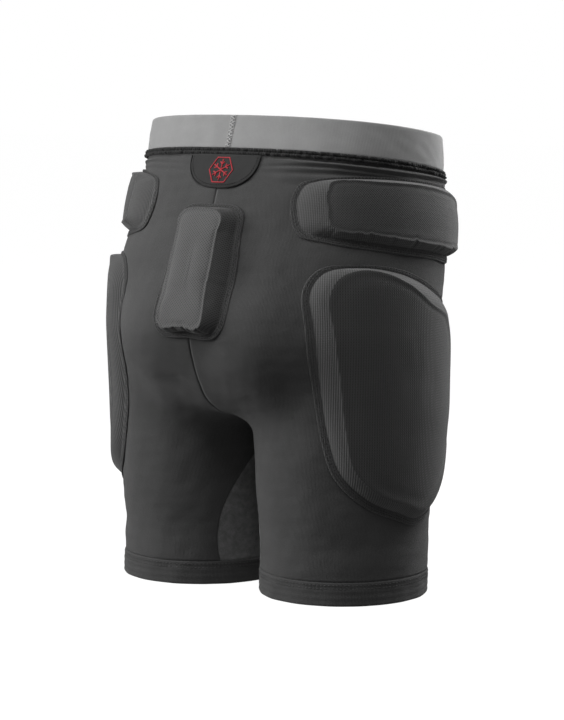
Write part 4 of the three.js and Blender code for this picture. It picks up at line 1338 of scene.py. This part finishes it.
def label_motif():
    """A six-sided outline round a six-armed flake, whose arms branch near their middle."""
    middle = np.array([0.0, LABEL_TOP + LABEL_DEPTH / 2 - 2])
    arm, branch, branch_turn = MOTIF_RADIUS - 3.6, 3.4, 50

    def ray(radius, degrees):
        return radius * np.array([math.cos(math.radians(degrees)), math.sin(math.radians(degrees))])

    corners = [ray(MOTIF_RADIUS, 60 * k) for k in range(7)]
    rim = np.vstack([np.linspace(a, b, 12, endpoint=False) for a, b in zip(corners, corners[1:])])
    strokes = [np.vstack([rim, rim[:2]])]
    for k in range(6):
        tip = ray(arm, 60 * k + 30)
        strokes.append(np.linspace([0, 0], tip, 10))
        for turn in (-branch_turn, branch_turn):
            root = tip * 0.55
            strokes.append(np.linspace(root, root + ray(branch, 60 * k + 30 + turn), 6))
    paths = []
    for stroke in strokes:
        points, normals = label_place(stroke + middle)
        paths.append((points + normals * (LABEL_SEAT + 0.45), normals))
    piece = tubes("label_motif_print", paths, 0.62, mat_red, sides=8)
    dress(piece, "label_red", "label_motif")


label_patch()
label_piping()
label_motif()


# ---- Stage: floor, lights and camera ----
CAMERA_TURN = math.radians(38.156)
CAMERA_DISTANCE = 2.546
CAMERA_HEIGHT = 0.5015
AIM_HEIGHT = 0.21335
AIM_ASIDE = -0.01131
LENS = 130.35
LIGHTS_AIM = 0.23
FLOOR_HALF = 12.0


def stage_material():
    n = Nodes("pale_floor")
    n.set(n.shader, {"Base Color": (*grey(0.12), 1), "Emission Color": (1, 1, 1, 1)})
    n.set(n.shader, {"Emission Strength": 0.98, "Roughness": 0.9, "Specular IOR Level": 0.0})
    return n.material


def make_floor():
    mesh = bpy.data.meshes.new("floor")
    corners = [(x * FLOOR_HALF, y * FLOOR_HALF, 0) for x, y in ((-1, -1), (1, -1), (1, 1), (-1, 1))]
    mesh.from_pydata(corners, [], [(0, 1, 2, 3)])
    mesh.materials.append(stage_material())
    floor = add_object("floor", mesh)
    floor.visible_diffuse = floor.visible_glossy = False


to_camera = Vector((-math.sin(CAMERA_TURN), math.cos(CAMERA_TURN), 0))
image_right = Vector((-math.cos(CAMERA_TURN), -math.sin(CAMERA_TURN), 0))


def soft_light(name, turn, lift, distance, size, level):
    """A square soft box. turn is degrees from the camera, to the right in the picture. level is the light on
    a surface that faces it, where 1 shows a white surface as white."""
    data = bpy.data.lights.new(name, "AREA")
    data.shape = "SQUARE"
    data.size = size
    data.energy = level * math.pi**2 * distance**2
    light = add_object(name, data)
    a, e = math.radians(turn), math.radians(lift)
    level_heading = to_camera * math.cos(a) + image_right * math.sin(a)
    direction = level_heading * math.cos(e) + Vector((0, 0, math.sin(e)))
    light.location = Vector((0, 0, LIGHTS_AIM)) + direction * distance
    light.rotation_euler = direction.to_track_quat("Z", "Y").to_euler()


def make_world(ambient):
    world = bpy.data.worlds.new("studio")
    world.use_nodes = True
    tree = world.node_tree
    background = tree.nodes["Background"]
    Nodes.set(background, {"Color": (1, 1, 1, 1)})
    seen = tree.nodes.new("ShaderNodeLightPath").outputs["Is Camera Ray"]
    strength = tree.nodes.new("ShaderNodeMapRange")
    Nodes.set(strength, {"To Min": ambient, "To Max": 1.0})
    tree.links.new(seen, strength.inputs["Value"])
    tree.links.new(strength.outputs[0], background.inputs["Strength"])
    bpy.context.scene.world = world


def make_camera():
    data = bpy.data.cameras.new("camera")
    data.lens = LENS
    camera = add_object("camera", data)
    aside = image_right * AIM_ASIDE + Vector((0, SHIFT / 1000, 0))
    camera.location = to_camera * CAMERA_DISTANCE + aside + Vector((0, 0, CAMERA_HEIGHT))
    aim = aside + Vector((0, 0, AIM_HEIGHT))
    camera.rotation_euler = (aim - camera.location).to_track_quat("-Z", "Y").to_euler()
    bpy.context.scene.camera = camera


make_floor()
soft_light("left", -90, 19, 2.4, 1.1, 0.62)
soft_light("right_above", 112, 40, 0.75, 0.45, 0.70)
soft_light("right_behind", 118, 20, 2.4, 1.1, 0.14)
soft_light("overhead", -25, 64, 2.2, 1.2, 0.42)
make_world(0.14)
make_camera()
bpy.context.scene.view_settings.view_transform = "Standard"
